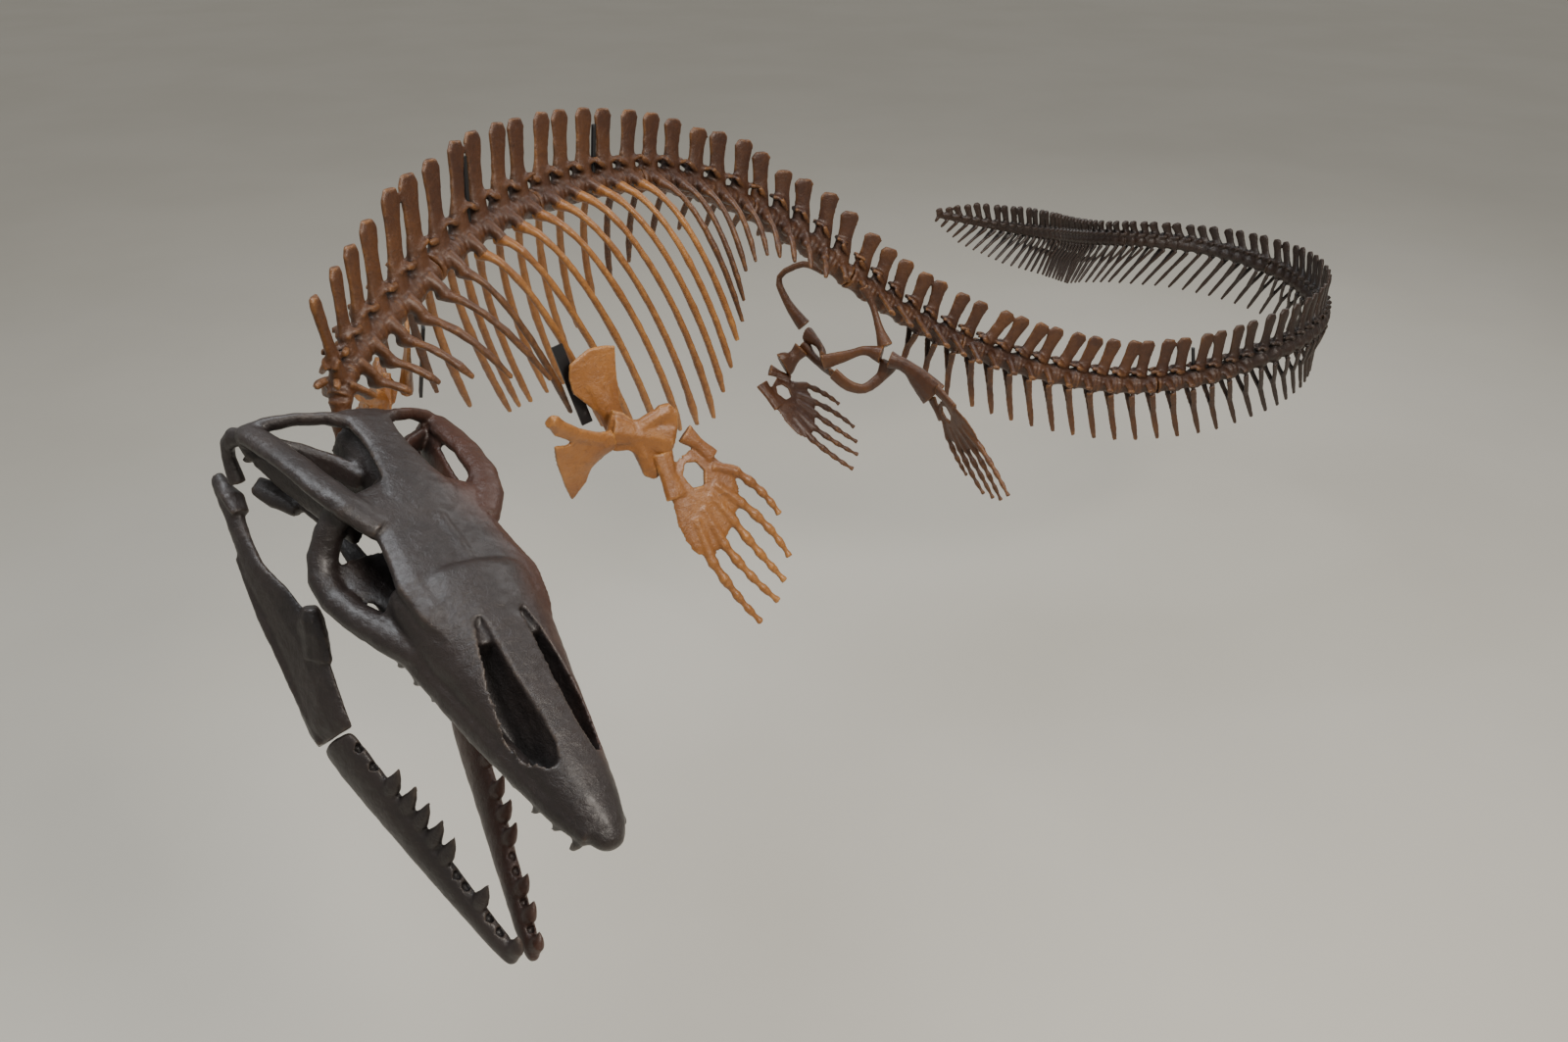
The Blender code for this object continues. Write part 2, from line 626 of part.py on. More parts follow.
# Hip and hind limbs, as points in the part's own frame: the mount hangs the two sides a little apart.
HIPS = {
    "left": {
        "ilium": ((0.516, 0.254, -0.398), (0.534, 0.250, -0.432), (0.548, 0.234, -0.475), (0.560, 0.216, -0.507)),
        "pubis": ((0.548, 0.206, -0.527), (0.518, 0.216, -0.523), (0.478, 0.222, -0.538), (0.433, 0.220, -0.551)),
        "ischium": ((0.570, 0.210, -0.555), (0.554, 0.206, -0.581), (0.519, 0.198, -0.605), (0.484, 0.202, -0.599),
                    (0.456, 0.216, -0.581)),
        "femur": ((0.576, 0.180, -0.531), (0.612, 0.168, -0.545), (0.661, 0.144, -0.591)),
        "paddle": ((0.668, 0.138, -0.600), (0.46, -0.61, -0.65), (-0.16, 0.62, -0.69), 0.80),
    },
    "right": {
        "ilium": ((0.430, 0.439, -0.417), (0.387, 0.476, -0.415), (0.332, 0.490, -0.451), (0.350, 0.463, -0.501),
                  (0.386, 0.440, -0.546)),
        "pubis": ((0.402, 0.423, -0.571), (0.421, 0.398, -0.578), (0.431, 0.369, -0.586), (0.433, 0.346, -0.592)),
        "ischium": ((0.392, 0.429, -0.601), (0.411, 0.409, -0.617), (0.438, 0.375, -0.630), (0.454, 0.340, -0.630)),
        "femur": ((0.380, 0.413, -0.604), (0.364, 0.406, -0.619), (0.346, 0.397, -0.630)),
        "paddle": ((0.309, 0.379, -0.655), (0.79, -0.08, -0.60), (0.26, 0.80, 0.50), 0.84),
    },
}
HIP_HALVES = {
    "ilium": ((0.009, 0.009), (0.007, 0.007), (0.007, 0.007), (0.008, 0.008), (0.014, 0.012)),
    "pubis": ((0.017, 0.014), (0.009, 0.008), (0.008, 0.007), (0.016, 0.007)),
    "ischium": ((0.016, 0.012), (0.010, 0.008), (0.011, 0.007), (0.012, 0.007), (0.012, 0.007)),
    "femur": ((0.020, 0.015), (0.014, 0.011), (0.030, 0.013)),
}


def hip(word, home, tools, skin):
    for bone in ("ilium", "pubis", "ischium", "femur"):
        points = [Vector(p) for p in HIPS[word][bone]]
        halves = HIP_HALVES[bone]
        chosen = [halves[round(k * (len(halves) - 1) / (len(points) - 1))] for k in range(len(points))]
        bar(f"{bone}_{word}", points, chosen, Vector((0.2, 0.9, 0.3)), home, skin)
    origin, along, across, size = HIPS[word]["paddle"]
    along = Vector(along).normalized()
    across = Vector(across)
    across = (across - along * across.dot(along)).normalized()
    paddle(f"hind_paddle_{word}", Vector(origin), along, across, size, home, tools, skin)


HANGERS = (("hanger_shoulder", 7.5), ("hanger_back", 13.5), ("hanger_tail", 43.5))
STUD_R = 0.0045
STUD_BELOW_TOP = 0.030
STUD_SIDES = 12


def hanger(name, at, home, skin):
    """A steel stud that leans with the neural spines beside it. Its flat top takes the hanging wire's fitting."""
    middle, back, _, up = spine_frame(at)
    flat = ramp(at, CENTRUM_R) * CENTRUM_FLAT * math.cos(math.pi / 6)
    lean = up + back * ramp(at, SPINE_RAKE)
    foot = middle + lean * flat + Vector((0, 0, STUD_R * abs(back.z) / up.z + JOINT_GAP))
    top = middle + lean * (ramp(at, SPINE_TOP) - STUD_BELOW_TOP)
    if name == "hanger_back":
        top = Vector((0.0, 0.0, 0.0))
    across, over = Vector((1, 0, 0)), Vector((0, 1, 0))
    rings = [ring(centre, across, over, STUD_R, STUD_R, STUD_SIDES) for centre in (foot, top)]
    mesh_object(name, loft_mesh(rings), home, skin)


def build():
    clear_scene()
    home, tools = collection("mosasaur_skeleton"), collection("cutters")
    bone, dark = material("bone", BONE), material("dark bone", DARK_BONE, 0.35)
    gold, steel = material("gold bone", GOLD_BONE, 0.4), material("black steel", STEEL, 0.4, 0.8)
    skull(home, tools, dark)
    for name, first, last, sides in STRETCHES:
        vertebrae(name, first, last, sides, home, bone)
    for side, word in ((1, "left"), (-1, "right")):
        quadrate(side, home, dark)
        mandibles(side, home, tools, dark)
        for number in LONG_RIBS:
            long_rib(number, side, home, gold)
        shoulder(side, home, tools, gold, steel)
        fore_paddle(side, home, tools, gold)
        hip(word, home, tools, bone)
    for name, at in HANGERS:
        hanger(name, at, home, steel)


build()
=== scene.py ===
# %% [markdown]
# The frame is the imported CAD model of a mounted mosasaur skeleton, a sea lizard of about 5.5 m. Each of its
# solids is a plain stand-in for one bone or one stretch of bones. Everything here is in metres with +Z up, so
# each finer piece is modelled straight in the place of its solid.

# %% Load the frame
import math

import bmesh
import bpy
from mathutils import Matrix, Vector


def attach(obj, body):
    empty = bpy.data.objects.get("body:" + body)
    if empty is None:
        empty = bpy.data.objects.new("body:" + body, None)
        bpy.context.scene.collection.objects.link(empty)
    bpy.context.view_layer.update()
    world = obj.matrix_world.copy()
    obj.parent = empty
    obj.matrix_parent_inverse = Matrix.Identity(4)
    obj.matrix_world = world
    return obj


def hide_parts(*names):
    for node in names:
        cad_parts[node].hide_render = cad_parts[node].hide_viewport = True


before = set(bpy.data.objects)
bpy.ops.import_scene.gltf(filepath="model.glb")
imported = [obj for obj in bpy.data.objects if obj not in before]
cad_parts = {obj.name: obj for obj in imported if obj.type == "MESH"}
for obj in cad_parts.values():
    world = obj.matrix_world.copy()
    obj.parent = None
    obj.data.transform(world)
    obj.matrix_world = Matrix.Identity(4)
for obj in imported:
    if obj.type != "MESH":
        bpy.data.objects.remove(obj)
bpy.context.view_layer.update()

print("nodes in the frame:", len(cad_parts))

# %% [markdown]
# The photograph looks down on the hanging skeleton from the side of its head, with a wide lens close to the
# jaws. A camera could be aimed with a constraint, but three numbers for its place and one tilt are all that
# it needs.

# %% Camera
LENS_MM, FILM_MM = 28.0, 36.0
CAMERA_PLACE = (0.343, -2.261, 0.48)
CAMERA_TILT = 60.0
camera = bpy.data.objects.new("camera", bpy.data.cameras.new("camera"))
bpy.context.scene.collection.objects.link(camera)
camera.data.lens = LENS_MM
camera.data.sensor_width = FILM_MM
camera.location = CAMERA_PLACE
camera.rotation_euler = (math.radians(CAMERA_TILT), 0.0, 0.0)
bpy.context.scene.camera = camera
print("camera at", tuple(camera.location))

# %% [markdown]
# The stage is a wide pale floor well below the bones, because the skeleton hangs in the air. The light is
# soft: a warm panel high on the right, a cool one above the head, a third behind the tail, and a dim pale
# world that fills the shadows.

# %% Floor and light
FLOOR_Z, FLOOR_HALF = -1.7, 60.0
WORLD_COLOUR, WORLD_STRENGTH = (0.9, 0.89, 0.86, 1.0), 0.42
floor_bm = bmesh.new()
bmesh.ops.create_grid(floor_bm, x_segments=1, y_segments=1, size=FLOOR_HALF,
                      matrix=Matrix.Translation((0.0, 0.0, FLOOR_Z)))
floor_mesh = bpy.data.meshes.new("floor")
floor_bm.to_mesh(floor_mesh)
floor_bm.free()
floor = bpy.data.objects.new("floor", floor_mesh)
bpy.context.scene.collection.objects.link(floor)


def panel(name, place, aim, size, watts, colour):
    light = bpy.data.objects.new(name, bpy.data.lights.new(name, "AREA"))
    light.data.size = size
    light.data.energy = watts
    light.data.color = colour
    light.location = place
    light.rotation_euler = (Vector(aim) - Vector(place)).to_track_quat("-Z", "Y").to_euler()
    bpy.context.scene.collection.objects.link(light)


panel("key panel", (2.1, -2.6, 1.9), (0.2, -0.2, -0.4), size=1.1, watts=115.0, colour=(1.0, 0.93, 0.84))
panel("top panel", (-0.9, -0.6, 2.6), (0.2, -0.1, -0.3), size=1.8, watts=85.0, colour=(0.9, 0.95, 1.0))
panel("back panel", (2.6, 3.4, 2.4), (0.9, 0.6, -0.5), size=2.0, watts=50.0, colour=(1.0, 1.0, 1.0))
world = bpy.data.worlds.new("studio")
world.use_nodes = True
world.node_tree.nodes["Background"].inputs["Color"].default_value = WORLD_COLOUR
world.node_tree.nodes["Background"].inputs["Strength"].default_value = WORLD_STRENGTH
bpy.context.scene.world = world
print("floor at", FLOOR_Z)

# %% [markdown]
# A material's numbers flow through wires. The class below wraps one socket, so that mixing noise and masks
# reads like plain sums. The paint class makes every other node through one method, so each finish reads like
# a recipe.

# %% Wires and paint
def plug(tree, socket, value):
    if isinstance(value, Wire):
        tree.links.new(value.socket, socket)
    elif isinstance(value, tuple) and socket.type == "RGBA":
        socket.default_value = (*value, 1.0)
    else:
        socket.default_value = value


class Wire:
    """One value on its way through a material."""

    def __init__(self, tree, socket):
        self.tree = tree
        self.socket = socket

    def math(self, operation, first, second):
        node = self.tree.nodes.new("ShaderNodeMath")
        node.operation = operation
        plug(self.tree, node.inputs[0], first)
        plug(self.tree, node.inputs[1], second)
        return Wire(self.tree, node.outputs[0])

    def __add__(self, other):
        return self.math("ADD", self, other)

    def __sub__(self, other):
        return self.math("SUBTRACT", self, other)

    def __rsub__(self, other):
        return self.math("SUBTRACT", other, self)

    def __mul__(self, other):
        return self.math("MULTIPLY", self, other)

    __radd__ = __add__
    __rmul__ = __mul__


class Paint:
    """A material whose nodes are asked for by type, settings and sockets."""

    def __init__(self, name):
        self.material = bpy.data.materials.new(name)
        self.material.use_nodes = True
        self.tree = self.material.node_tree
        self.shader = self.tree.nodes["Principled BSDF"]
        self.place = self.node("ShaderNodeTexCoord", {}, {}, "Object")

    def node(self, kind, settings, sockets, out=None):
        made = self.tree.nodes.new(kind)
        for key, value in settings.items():
            setattr(made, key, value)
        for key, value in sockets.items():
            plug(self.tree, next(s for s in made.inputs if s.enabled and s.name == key), value)
        return Wire(self.tree, next(s for s in made.outputs if s.enabled and out in (None, s.name)))

    def noise(self, scale, detail=4.0, rough=0.55, twist=0.0):
        look = {"Vector": self.place, "Scale": scale, "Detail": detail, "Roughness": rough,
                "Distortion": twist}
        return self.node("ShaderNodeTexNoise", {}, look, "Fac")

    def mask(self, value, low, high):
        """Nought below low, one above high, smooth between."""
        span = {"Value": value, "From Min": low, "From Max": high, "To Min": 0.0, "To Max": 1.0}
        return self.node("ShaderNodeMapRange", {"interpolation_type": "SMOOTHSTEP"}, span, "Result")

    def mix(self, share, first, second):
        return self.node("ShaderNodeMix", {"data_type": "RGBA"}, {"Factor": share, "A": first, "B": second},
                         "Result")

    def set(self, **sockets):
        for key, value in sockets.items():
            plug(self.tree, self.shader.inputs[key.replace("_", " ")], value)


print("paint tools ready")

# %% [markdown]
# Fossil bone is stained by its rock, then sealed, so it shines a little. Its colour drifts over a hand's
# width and is mottled over a finger's width. Its recesses are darkened with painted shade from an ambient
# occlusion mask, and edges are rubbed lighter. One recipe serves the brown, golden and nearly black bones.
# The brown darkens at the tail's end, partly its own tone and partly painted shade, and the black is painted
# red-brown on the skull's left flank, a painted warm light on the side that faces the key panel.

# %% Bone finishes
DRIFT, MOTTLE, STRAND, GRAIN = 4.5, 42.0, 95.0, 260.0
HOLLOW_REACH = 0.045
BUMP_HEIGHT = 0.0028
COAT_ROUGHNESS = 0.28


def bone_paint(name, main, second, worn, dirt_and_shade, shine, coat, region=None, region_colour=None):
    """A bone finish. Region is (x, y, z, low, high): its colour takes over where that sum of the place passes
    from low to high."""
    paint = Paint(name)
    drift = paint.mask(paint.noise(DRIFT, 3.0), 0.36, 0.66)
    mottle = paint.mask(paint.noise(MOTTLE, 5.0, 0.62, 0.6), 0.38, 0.68)
    grain = paint.noise(GRAIN, 3.0, 0.7)
    strand = paint.noise(STRAND, 6.0, 0.68, 1.4)
    edge = paint.node("ShaderNodeNewGeometry", {}, {}, "Pointiness")
    open_air = paint.node("ShaderNodeAmbientOcclusion", {"samples": 4, "only_local": True},
                          {"Distance": HOLLOW_REACH}, "AO")
    shade = paint.mix(drift * 0.7 + mottle * 0.3, main, second)
    shade = paint.mix(paint.mask(edge, 0.51, 0.56) * (0.2 + mottle * 0.45), shade, worn)
    # A region colour is partly painted light: the darker tail end is partly painted shade, and the red-brown
    # left flank of the skull is painted warm light.
    if region:
        x, y, z = (paint.node("ShaderNodeSeparateXYZ", {}, {"Vector": paint.place}, axis) for axis in "XYZ")
        place = x * region[0] + y * region[1] + z * region[2] + drift * 0.04
        taken = paint.mask(place, region[3], region[4]) * (0.8 + mottle * 0.12)
        shade = paint.mix(taken, shade, region_colour)
    shade = paint.mix(paint.mask(strand, 0.5, 0.72) * 0.38, shade, dirt_and_shade)
    # Painted shade: recesses found by ambient occlusion are mixed towards the darkest colour.
    hollow_shade = 1.0 - paint.mask(open_air, 0.3, 0.92)
    shade = paint.mix(hollow_shade * 0.85, shade, dirt_and_shade)
    paint.set(Base_Color=shade, Roughness=shine + (strand - 0.5) * 0.22 + hollow_shade * 0.2)
    height = strand * 0.55 + grain * 0.18 + mottle * 0.25
    relief = {"Strength": 0.8, "Distance": BUMP_HEIGHT, "Height": height}
    paint.set(Normal=paint.node("ShaderNodeBump", {}, relief, "Normal"))
    paint.shader.inputs["Coat Weight"].default_value = coat
    paint.shader.inputs["Coat Roughness"].default_value = COAT_ROUGHNESS
    return paint


# Darker tail end: partly the bone's own tone, partly painted shade.
TAIL_TONE_AND_SHADE = (0.5, 1.0, 0.0, 0.98, 1.36)
# Red-brown left flank of the skull and jaws: painted warm light on the side that faces the key panel.
PAINTED_LIGHT_LEFT_FLANK = (0.67, 0.692, -0.269, -0.6, -0.545)
brown = bone_paint("brown_bone", main=(0.048, 0.0145, 0.005), second=(0.112, 0.04, 0.0105),
                   worn=(0.3, 0.13, 0.034), dirt_and_shade=(0.004, 0.0025, 0.002), shine=0.44, coat=0.14,
                   region=TAIL_TONE_AND_SHADE, region_colour=(0.011, 0.0065, 0.005))
golden = bone_paint("golden_bone", main=(0.205, 0.072, 0.014), second=(0.35, 0.14, 0.03),
                    worn=(0.58, 0.29, 0.085), dirt_and_shade=(0.018, 0.007, 0.003), shine=0.38, coat=0.22)
dark = bone_paint("dark_bone", main=(0.015, 0.01, 0.009), second=(0.03, 0.0205, 0.018),
                  worn=(0.1, 0.07, 0.05), dirt_and_shade=(0.003, 0.002, 0.002), shine=0.42, coat=0.2,
                  region=PAINTED_LIGHT_LEFT_FLANK, region_colour=(0.058, 0.019, 0.009))
print("bone finishes:", brown.material.name, golden.material.name, dark.material.name)

# %% [markdown]
# The studs and the two shoulder struts are black painted steel. Their CAD solids already have the right
# shape, so they only need a finish: dark paint with a fine orange-peel bump and lighter, rubbed edges.

# %% Steel finish
STEEL_NODES = ("shoulder_strut_left", "shoulder_strut_right", "hanger_shoulder", "hanger_back", "hanger_tail")
steel = Paint("black_steel")
scuff = steel.mask(steel.noise(55.0, 5.0), 0.56, 0.74)
steel_colour = steel.mix(scuff * 0.5, (0.012, 0.012, 0.013), (0.07, 0.068, 0.066))
steel.set(Base_Color=steel_colour, Roughness=0.34 + scuff * 0.2)
peel = {"Strength": 0.25, "Distance": 0.0004, "Height": steel.noise(700.0)}
steel.set(Normal=steel.node("ShaderNodeBump", {}, peel, "Normal"))
for node in STEEL_NODES:
    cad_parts[node].data.materials.clear()
    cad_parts[node].data.materials.append(steel.material)
print("steel on", len(STEEL_NODES), "nodes")

# %% [markdown]
# The floor is matt and nearly even, with a slow drift between two pale tones.

# %% Floor finish
pale = Paint("pale_floor")
cloud = pale.mask(pale.noise(0.8), 0.3, 0.7)
pale.set(Base_Color=pale.mix(cloud, (0.6, 0.57, 0.5), (0.63, 0.6, 0.53)), Roughness=0.9)
floor.data.materials.append(pale.material)
print("floor finish:", pale.material.name)

# %% [markdown]
# The spine is a smooth line through measured points. The same tables and functions as in the part's source
# give the middle, the directions and the size of each vertebra, so the finer bones sit exactly where their
# solids are.

# %% Tables along the spine
SPINE = (
    (-2, -0.263, -0.75, -0.263), (0, -0.264, -0.718, -0.198), (2, -0.252, -0.641, -0.167),
    (4, -0.225, -0.538, -0.143), (6, -0.187, -0.428, -0.113), (8, -0.15, -0.316, -0.099),
    (11, -0.08, -0.148, -0.097), (14, 0.008, 0.012, -0.109), (17, 0.118, 0.154, -0.143),
    (20, 0.246, 0.261, -0.215), (23, 0.376, 0.324, -0.309), (26, 0.506, 0.356, -0.419),
    (29, 0.638, 0.389, -0.517), (32, 0.773, 0.419, -0.595), (36, 0.963, 0.439, -0.667),
    (40, 1.163, 0.446, -0.703), (44, 1.358, 0.476, -0.695), (48, 1.533, 0.554, -0.673),
    (51, 1.648, 0.644, -0.665), (54, 1.733, 0.752, -0.665), (57, 1.791, 0.874, -0.671),
    (60, 1.816, 1.007, -0.675), (64, 1.806, 1.177, -0.678), (68, 1.726, 1.321, -0.673),
    (72, 1.603, 1.414, -0.667), (76, 1.456, 1.424, -0.653), (80, 1.328, 1.369, -0.631),
    (83, 1.248, 1.292, -0.607), (86, 1.193, 1.204, -0.579), (90, 1.131, 1.096, -0.543),
    (94, 1.068, 0.996, -0.507), (98, 0.991, 0.919, -0.475), (103, 0.876, 0.866, -0.441),
    (108, 0.75, 0.869, -0.418),
)

# Sizes along the spine, as vertebra number and metres.
CENTRUM_R = (
    (-2, 0.015), (1, 0.02), (4, 0.024), (24, 0.027), (44, 0.025), (60, 0.023), (76, 0.019), (92, 0.013),
    (108, 0.005),
)
ARCH_TOP = (
    (-2, 0.03), (0, 0.045), (8, 0.056), (14, 0.046), (18, 0.045), (24, 0.055), (28, 0.04), (60, 0.03),
    (92, 0.022), (108, 0.009),
)
SPINE_TOP = (
    (0, 0.124), (2, 0.133), (4, 0.156), (6, 0.148), (8, 0.153), (12, 0.142), (16, 0.125), (18, 0.113),
    (20, 0.122), (22, 0.103), (24, 0.116), (27, 0.105), (34, 0.113), (48, 0.11), (60, 0.105), (66, 0.085),
    (72, 0.065), (80, 0.054), (98, 0.064), (104, 0.052), (108, 0.02),
)
SPINE_RAKE = (
    (0, 0.52), (2, 0.34), (5, 0.32), (8, 0.17), (12, 0.09), (16, -0.04), (18, -0.25), (20, -0.38),
    (22, -0.6), (24, -0.58), (26, -0.42), (30, -0.44), (33, -0.1), (48, -0.12), (54, -0.05), (62, 0.2),
    (70, 0.35), (108, 0.45),
)
SPINE_FIRST = 0
SIDE_REACH = (
    (-2, 0.028), (8, 0.04), (24, 0.044), (25, 0.075), (27, 0.115), (31, 0.105), (38, 0.055), (46, 0.036),
)
SIDE_LAST = 46
CHEVRON_FIRST = 29
CHEVRON_DROP = (
    (29, 0.105), (31, 0.13), (36, 0.143), (40, 0.147), (47, 0.163), (54, 0.158), (60, 0.15), (72, 0.142),
    (84, 0.126), (98, 0.088), (104, 0.058), (108, 0.015),
)
CHEVRON_RAKE = (
    (29, 0.4), (32, 0.66), (36, 0.57), (39, 0.45), (42, 0.32), (48, 0.46), (60, 0.5), (70, 0.6),
    (108, 0.8),
)

# %% [markdown]
# Between the points the line is a cubic curve without a kink. A ramp reads a size between the entries of its
# table, and a frame gives a vertebra's middle and its directions.

# %% Points along the spine
def ramp(at, table):
    """The value at a vertebra number, on straight lines between the table's entries."""
    if at <= table[0][0]:
        return table[0][1]
    for (low, first), (high, last) in zip(table, table[1:]):
        if at <= high:
            return first + (last - first) * (at - low) / (high - low)
    return table[-1][1]


def spine_slope(k):
    before, after = SPINE[max(k - 1, 0)], SPINE[min(k + 1, len(SPINE) - 1)]
    return (Vector(after[1:]) - Vector(before[1:])) / (after[0] - before[0])


def spine_point(at):
    """A point on the smooth line through the middles of the vertebrae."""
    k = 0
    while k < len(SPINE) - 2 and at > SPINE[k + 1][0]:
        k += 1
    start, end = SPINE[k], SPINE[k + 1]
    span = end[0] - start[0]
    u = (at - start[0]) / span
    curve = (2 * u**3 - 3 * u**2 + 1) * Vector(start[1:]) + (3 * u**2 - 2 * u**3) * Vector(end[1:])
    curve += (u**3 - 2 * u**2 + u) * span * spine_slope(k)
    curve += (u**3 - u**2) * span * spine_slope(k + 1)
    return curve


def spine_frame(at):
    """Middle, and the directions to the back, the left side and up, for a vertebra."""
    back = (spine_point(at + 0.3) - spine_point(at - 0.3)).normalized()
    up = Vector((0, 0, 1)) - back * back.z
    up.normalize()
    return spine_point(at), back, back.cross(up), up


def pitch(at):
    return (spine_point(at + 0.5) - spine_point(at - 0.5)).length


print("spine length:", round(sum(pitch(number) for number in range(SPINE[0][0], SPINE[-1][0] + 1)), 2))

# %% [markdown]
# Bones are grown like clay rods. A limb starts from a closed cylinder, and its end is pulled out from station
# to station, each with its own place, direction and thickness. A slab is a flat bone pulled out of its
# outline. They may run into each other freely.

# %% Limbs and slabs
UP = Vector((0.0, 0.0, 1.0))
SIDES = ((1, "left"), (-1, "right"))


def squared(way, along):
    """A direction turned until it is square to another."""
    return (way - along * way.dot(along)).normalized()


def station(middle, along, over, half_across, half_over):
    """The matrix that lays a unit disc square to a direction."""
    along = along.normalized()
    over = squared(over, along)
    across = over.cross(along)
    turn = Matrix((across * half_across, over * half_over, along)).transposed().to_4x4()
    return Matrix.Translation(middle) @ turn


def limb(bm, line, halves, over, sides=8):
    """A closed rod along a line of points. Halves are its half widths across and over the line at each."""
    last = len(line) - 1
    stations = []
    for k, point in enumerate(line):
        along = line[min(k + 1, last)] - line[max(k - 1, 0)]
        stations.append(station(point, along, over, *halves[k]))
    rod = bmesh.ops.create_cone(bm, cap_ends=True, segments=sides, radius1=1.0, radius2=1.0, depth=1.0)
    verts = rod["verts"]
    start = [v for v in verts if v.co.z < 0.0]
    end = [v for v in verts if v.co.z > 0.0]
    face = next(f for f in end[0].link_faces if all(v in end for v in f.verts))
    flat = Matrix.Scale(0.0, 4, UP)
    bmesh.ops.transform(bm, matrix=stations[0] @ flat, verts=start)
    bmesh.ops.transform(bm, matrix=stations[1] @ flat, verts=end)
    for before, after in zip(stations[1:], stations[2:]):
        face = bmesh.ops.extrude_discrete_faces(bm, faces=[face])["faces"][0]
        bmesh.ops.transform(bm, matrix=after @ before.inverted(), verts=face.verts[:])


def slab(bm, origin, along, across, outline, half_thick):
    """A flat bone. Its outline is given along and across, and it is pulled out both ways."""
    way = along.cross(across).normalized() * half_thick
    edge = [bm.verts.new(origin + along * a + across * b - way) for a, b in outline]
    grown = bmesh.ops.extrude_face_region(bm, geom=[bm.faces.new(edge)], use_keep_orig=True)
    moved = [part for part in grown["geom"] if isinstance(part, bmesh.types.BMVert)]
    bmesh.ops.translate(bm, vec=way * 2.0, verts=moved)


print("bone tools ready")

# %% [markdown]
# Real bones have no seams between their parts. Fusing remeshes the overlapping clay into one skin, smooths
# it, and pushes it in and out a little with a cloud pattern. The result takes the place of the CAD solid. A
# Boolean union would leave every crease sharp.

# %% Fusing
lumps = bpy.data.textures.new("lumps", "CLOUDS")
lumps.noise_scale = 0.022
lumps.noise_depth = 2


def object_from(name, bm):
    bmesh.ops.recalc_face_normals(bm, faces=bm.faces[:])
    mesh = bpy.data.meshes.new(name)
    bm.to_mesh(mesh)
    bm.free()
    made = bpy.data.objects.new(name, mesh)
    bpy.context.scene.collection.objects.link(made)
    return made


def finished_mesh(made, name):
    bpy.context.view_layer.update()
    mesh = bpy.data.meshes.new_from_object(made.evaluated_get(bpy.context.evaluated_depsgraph_get()))
    bpy.data.objects.remove(made)
    mesh.name = name
    return mesh


def fuse(name, bm, paint, grain, rounding=3, unevenness=0.0016):
    """One skin round everything in bm, as a piece that stands for the node of that name."""
    clay = object_from(f"{name}_clay", bm)
    step = clay.modifiers.new("one skin", "REMESH")
    step.mode = "VOXEL"
    step.voxel_size = grain
    step = clay.modifiers.new("rounding", "SMOOTH")
    step.factor = 0.5
    step.iterations = rounding
    step = clay.modifiers.new("uneven", "DISPLACE")
    step.texture = lumps
    step.texture_coords = "LOCAL"
    step.strength = unevenness
    mesh = finished_mesh(clay, f"{name}_bone")
    mesh.shade_smooth()
    mesh.materials.clear()
    mesh.materials.append(paint.material)
    piece = bpy.data.objects.new(f"{name}_bone", mesh)
    bpy.context.scene.collection.objects.link(piece)
    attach(piece, "root")
    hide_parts(name)
    print(piece.name, len(mesh.polygons))
    return piece


# %% [markdown]
# A vertebra is a spool-shaped body with an arch over it, a tall blade on the arch, a wing on each side, and
# small pegs in front and behind that lock it to its neighbours. In the tail a forked chevron hangs below it.
# Each is a limb whose sizes come from the tables, so one recipe makes all of them.

# %% One vertebra
SPOOL = ((-0.48, 0.94), (-0.41, 1.04), (-0.22, 0.86), (0.0, 0.8), (0.22, 0.86), (0.41, 1.04), (0.48, 0.94))
BLADE_LEAN = ((0, 0.0), (24, 0.0), (29, 0.35), (34, 0.62), (58, 0.62), (66, 0.3), (108, 0.2))
BLADE_SWAY = (0.05, -0.03, 0.02, -0.06, 0.04, 0.0, -0.02, 0.06, -0.04, 0.03, -0.05)

# Pegs of the arch: shares of the pitch, of its half width and of its height, then sizes.
PEGS = (
    (((-0.15, 0.5, 0.72), (-0.45, 0.95, 0.86), (-0.62, 1.05, 0.96)),
     ((0.006, 0.006), (0.0052, 0.0065), (0.004, 0.005))),
    (((0.15, 0.4, 0.9), (0.42, 0.6, 1.0), (0.56, 0.75, 1.0)),
     ((0.006, 0.005), (0.005, 0.005), (0.004, 0.004))),
)


def spool(bm, number):
    middle, back, left, up = spine_frame(number)
    step, radius = pitch(number), ramp(number, CENTRUM_R)
    line = [middle + back * step * a for a, _ in SPOOL]
    limb(bm, line, [(radius * r, radius * r) for _, r in SPOOL], up, 12)


def arch_and_blade(bm, number):
    middle, back, left, up = spine_frame(number)
    step, radius = pitch(number), ramp(number, CENTRUM_R)
    rake = ramp(number, SPINE_RAKE) + BLADE_SWAY[number % len(BLADE_SWAY)]
    arch, top = ramp(number, ARCH_TOP), ramp(number, SPINE_TOP)
    wide = min(0.017, radius * 0.75)
    heights = (radius * 0.5, arch * 0.85, arch + (top - arch) * 0.18, arch + (top - arch) * 0.5,
               arch + (top - arch) * 0.85, top)
    halves = ((step * 0.4, wide), (step * 0.36, wide * 0.6), (step * 0.31, 0.0066), (step * 0.33, 0.0056),
              (step * 0.4, 0.0062), (step * 0.24, 0.0058))
    lean = step * ramp(number, BLADE_LEAN)
    line = [middle + up * h + back * (rake * h + lean * (h / top - 0.6)) for h in heights]
    limb(bm, line, [(b, a) for a, b in halves], back, 10)
    for side in (1, -1):
        for peg, sizes in PEGS:
            line = [middle + back * step * b + left * side * (wide * a) + up * arch * h for b, a, h in peg]
            limb(bm, line, sizes, up)



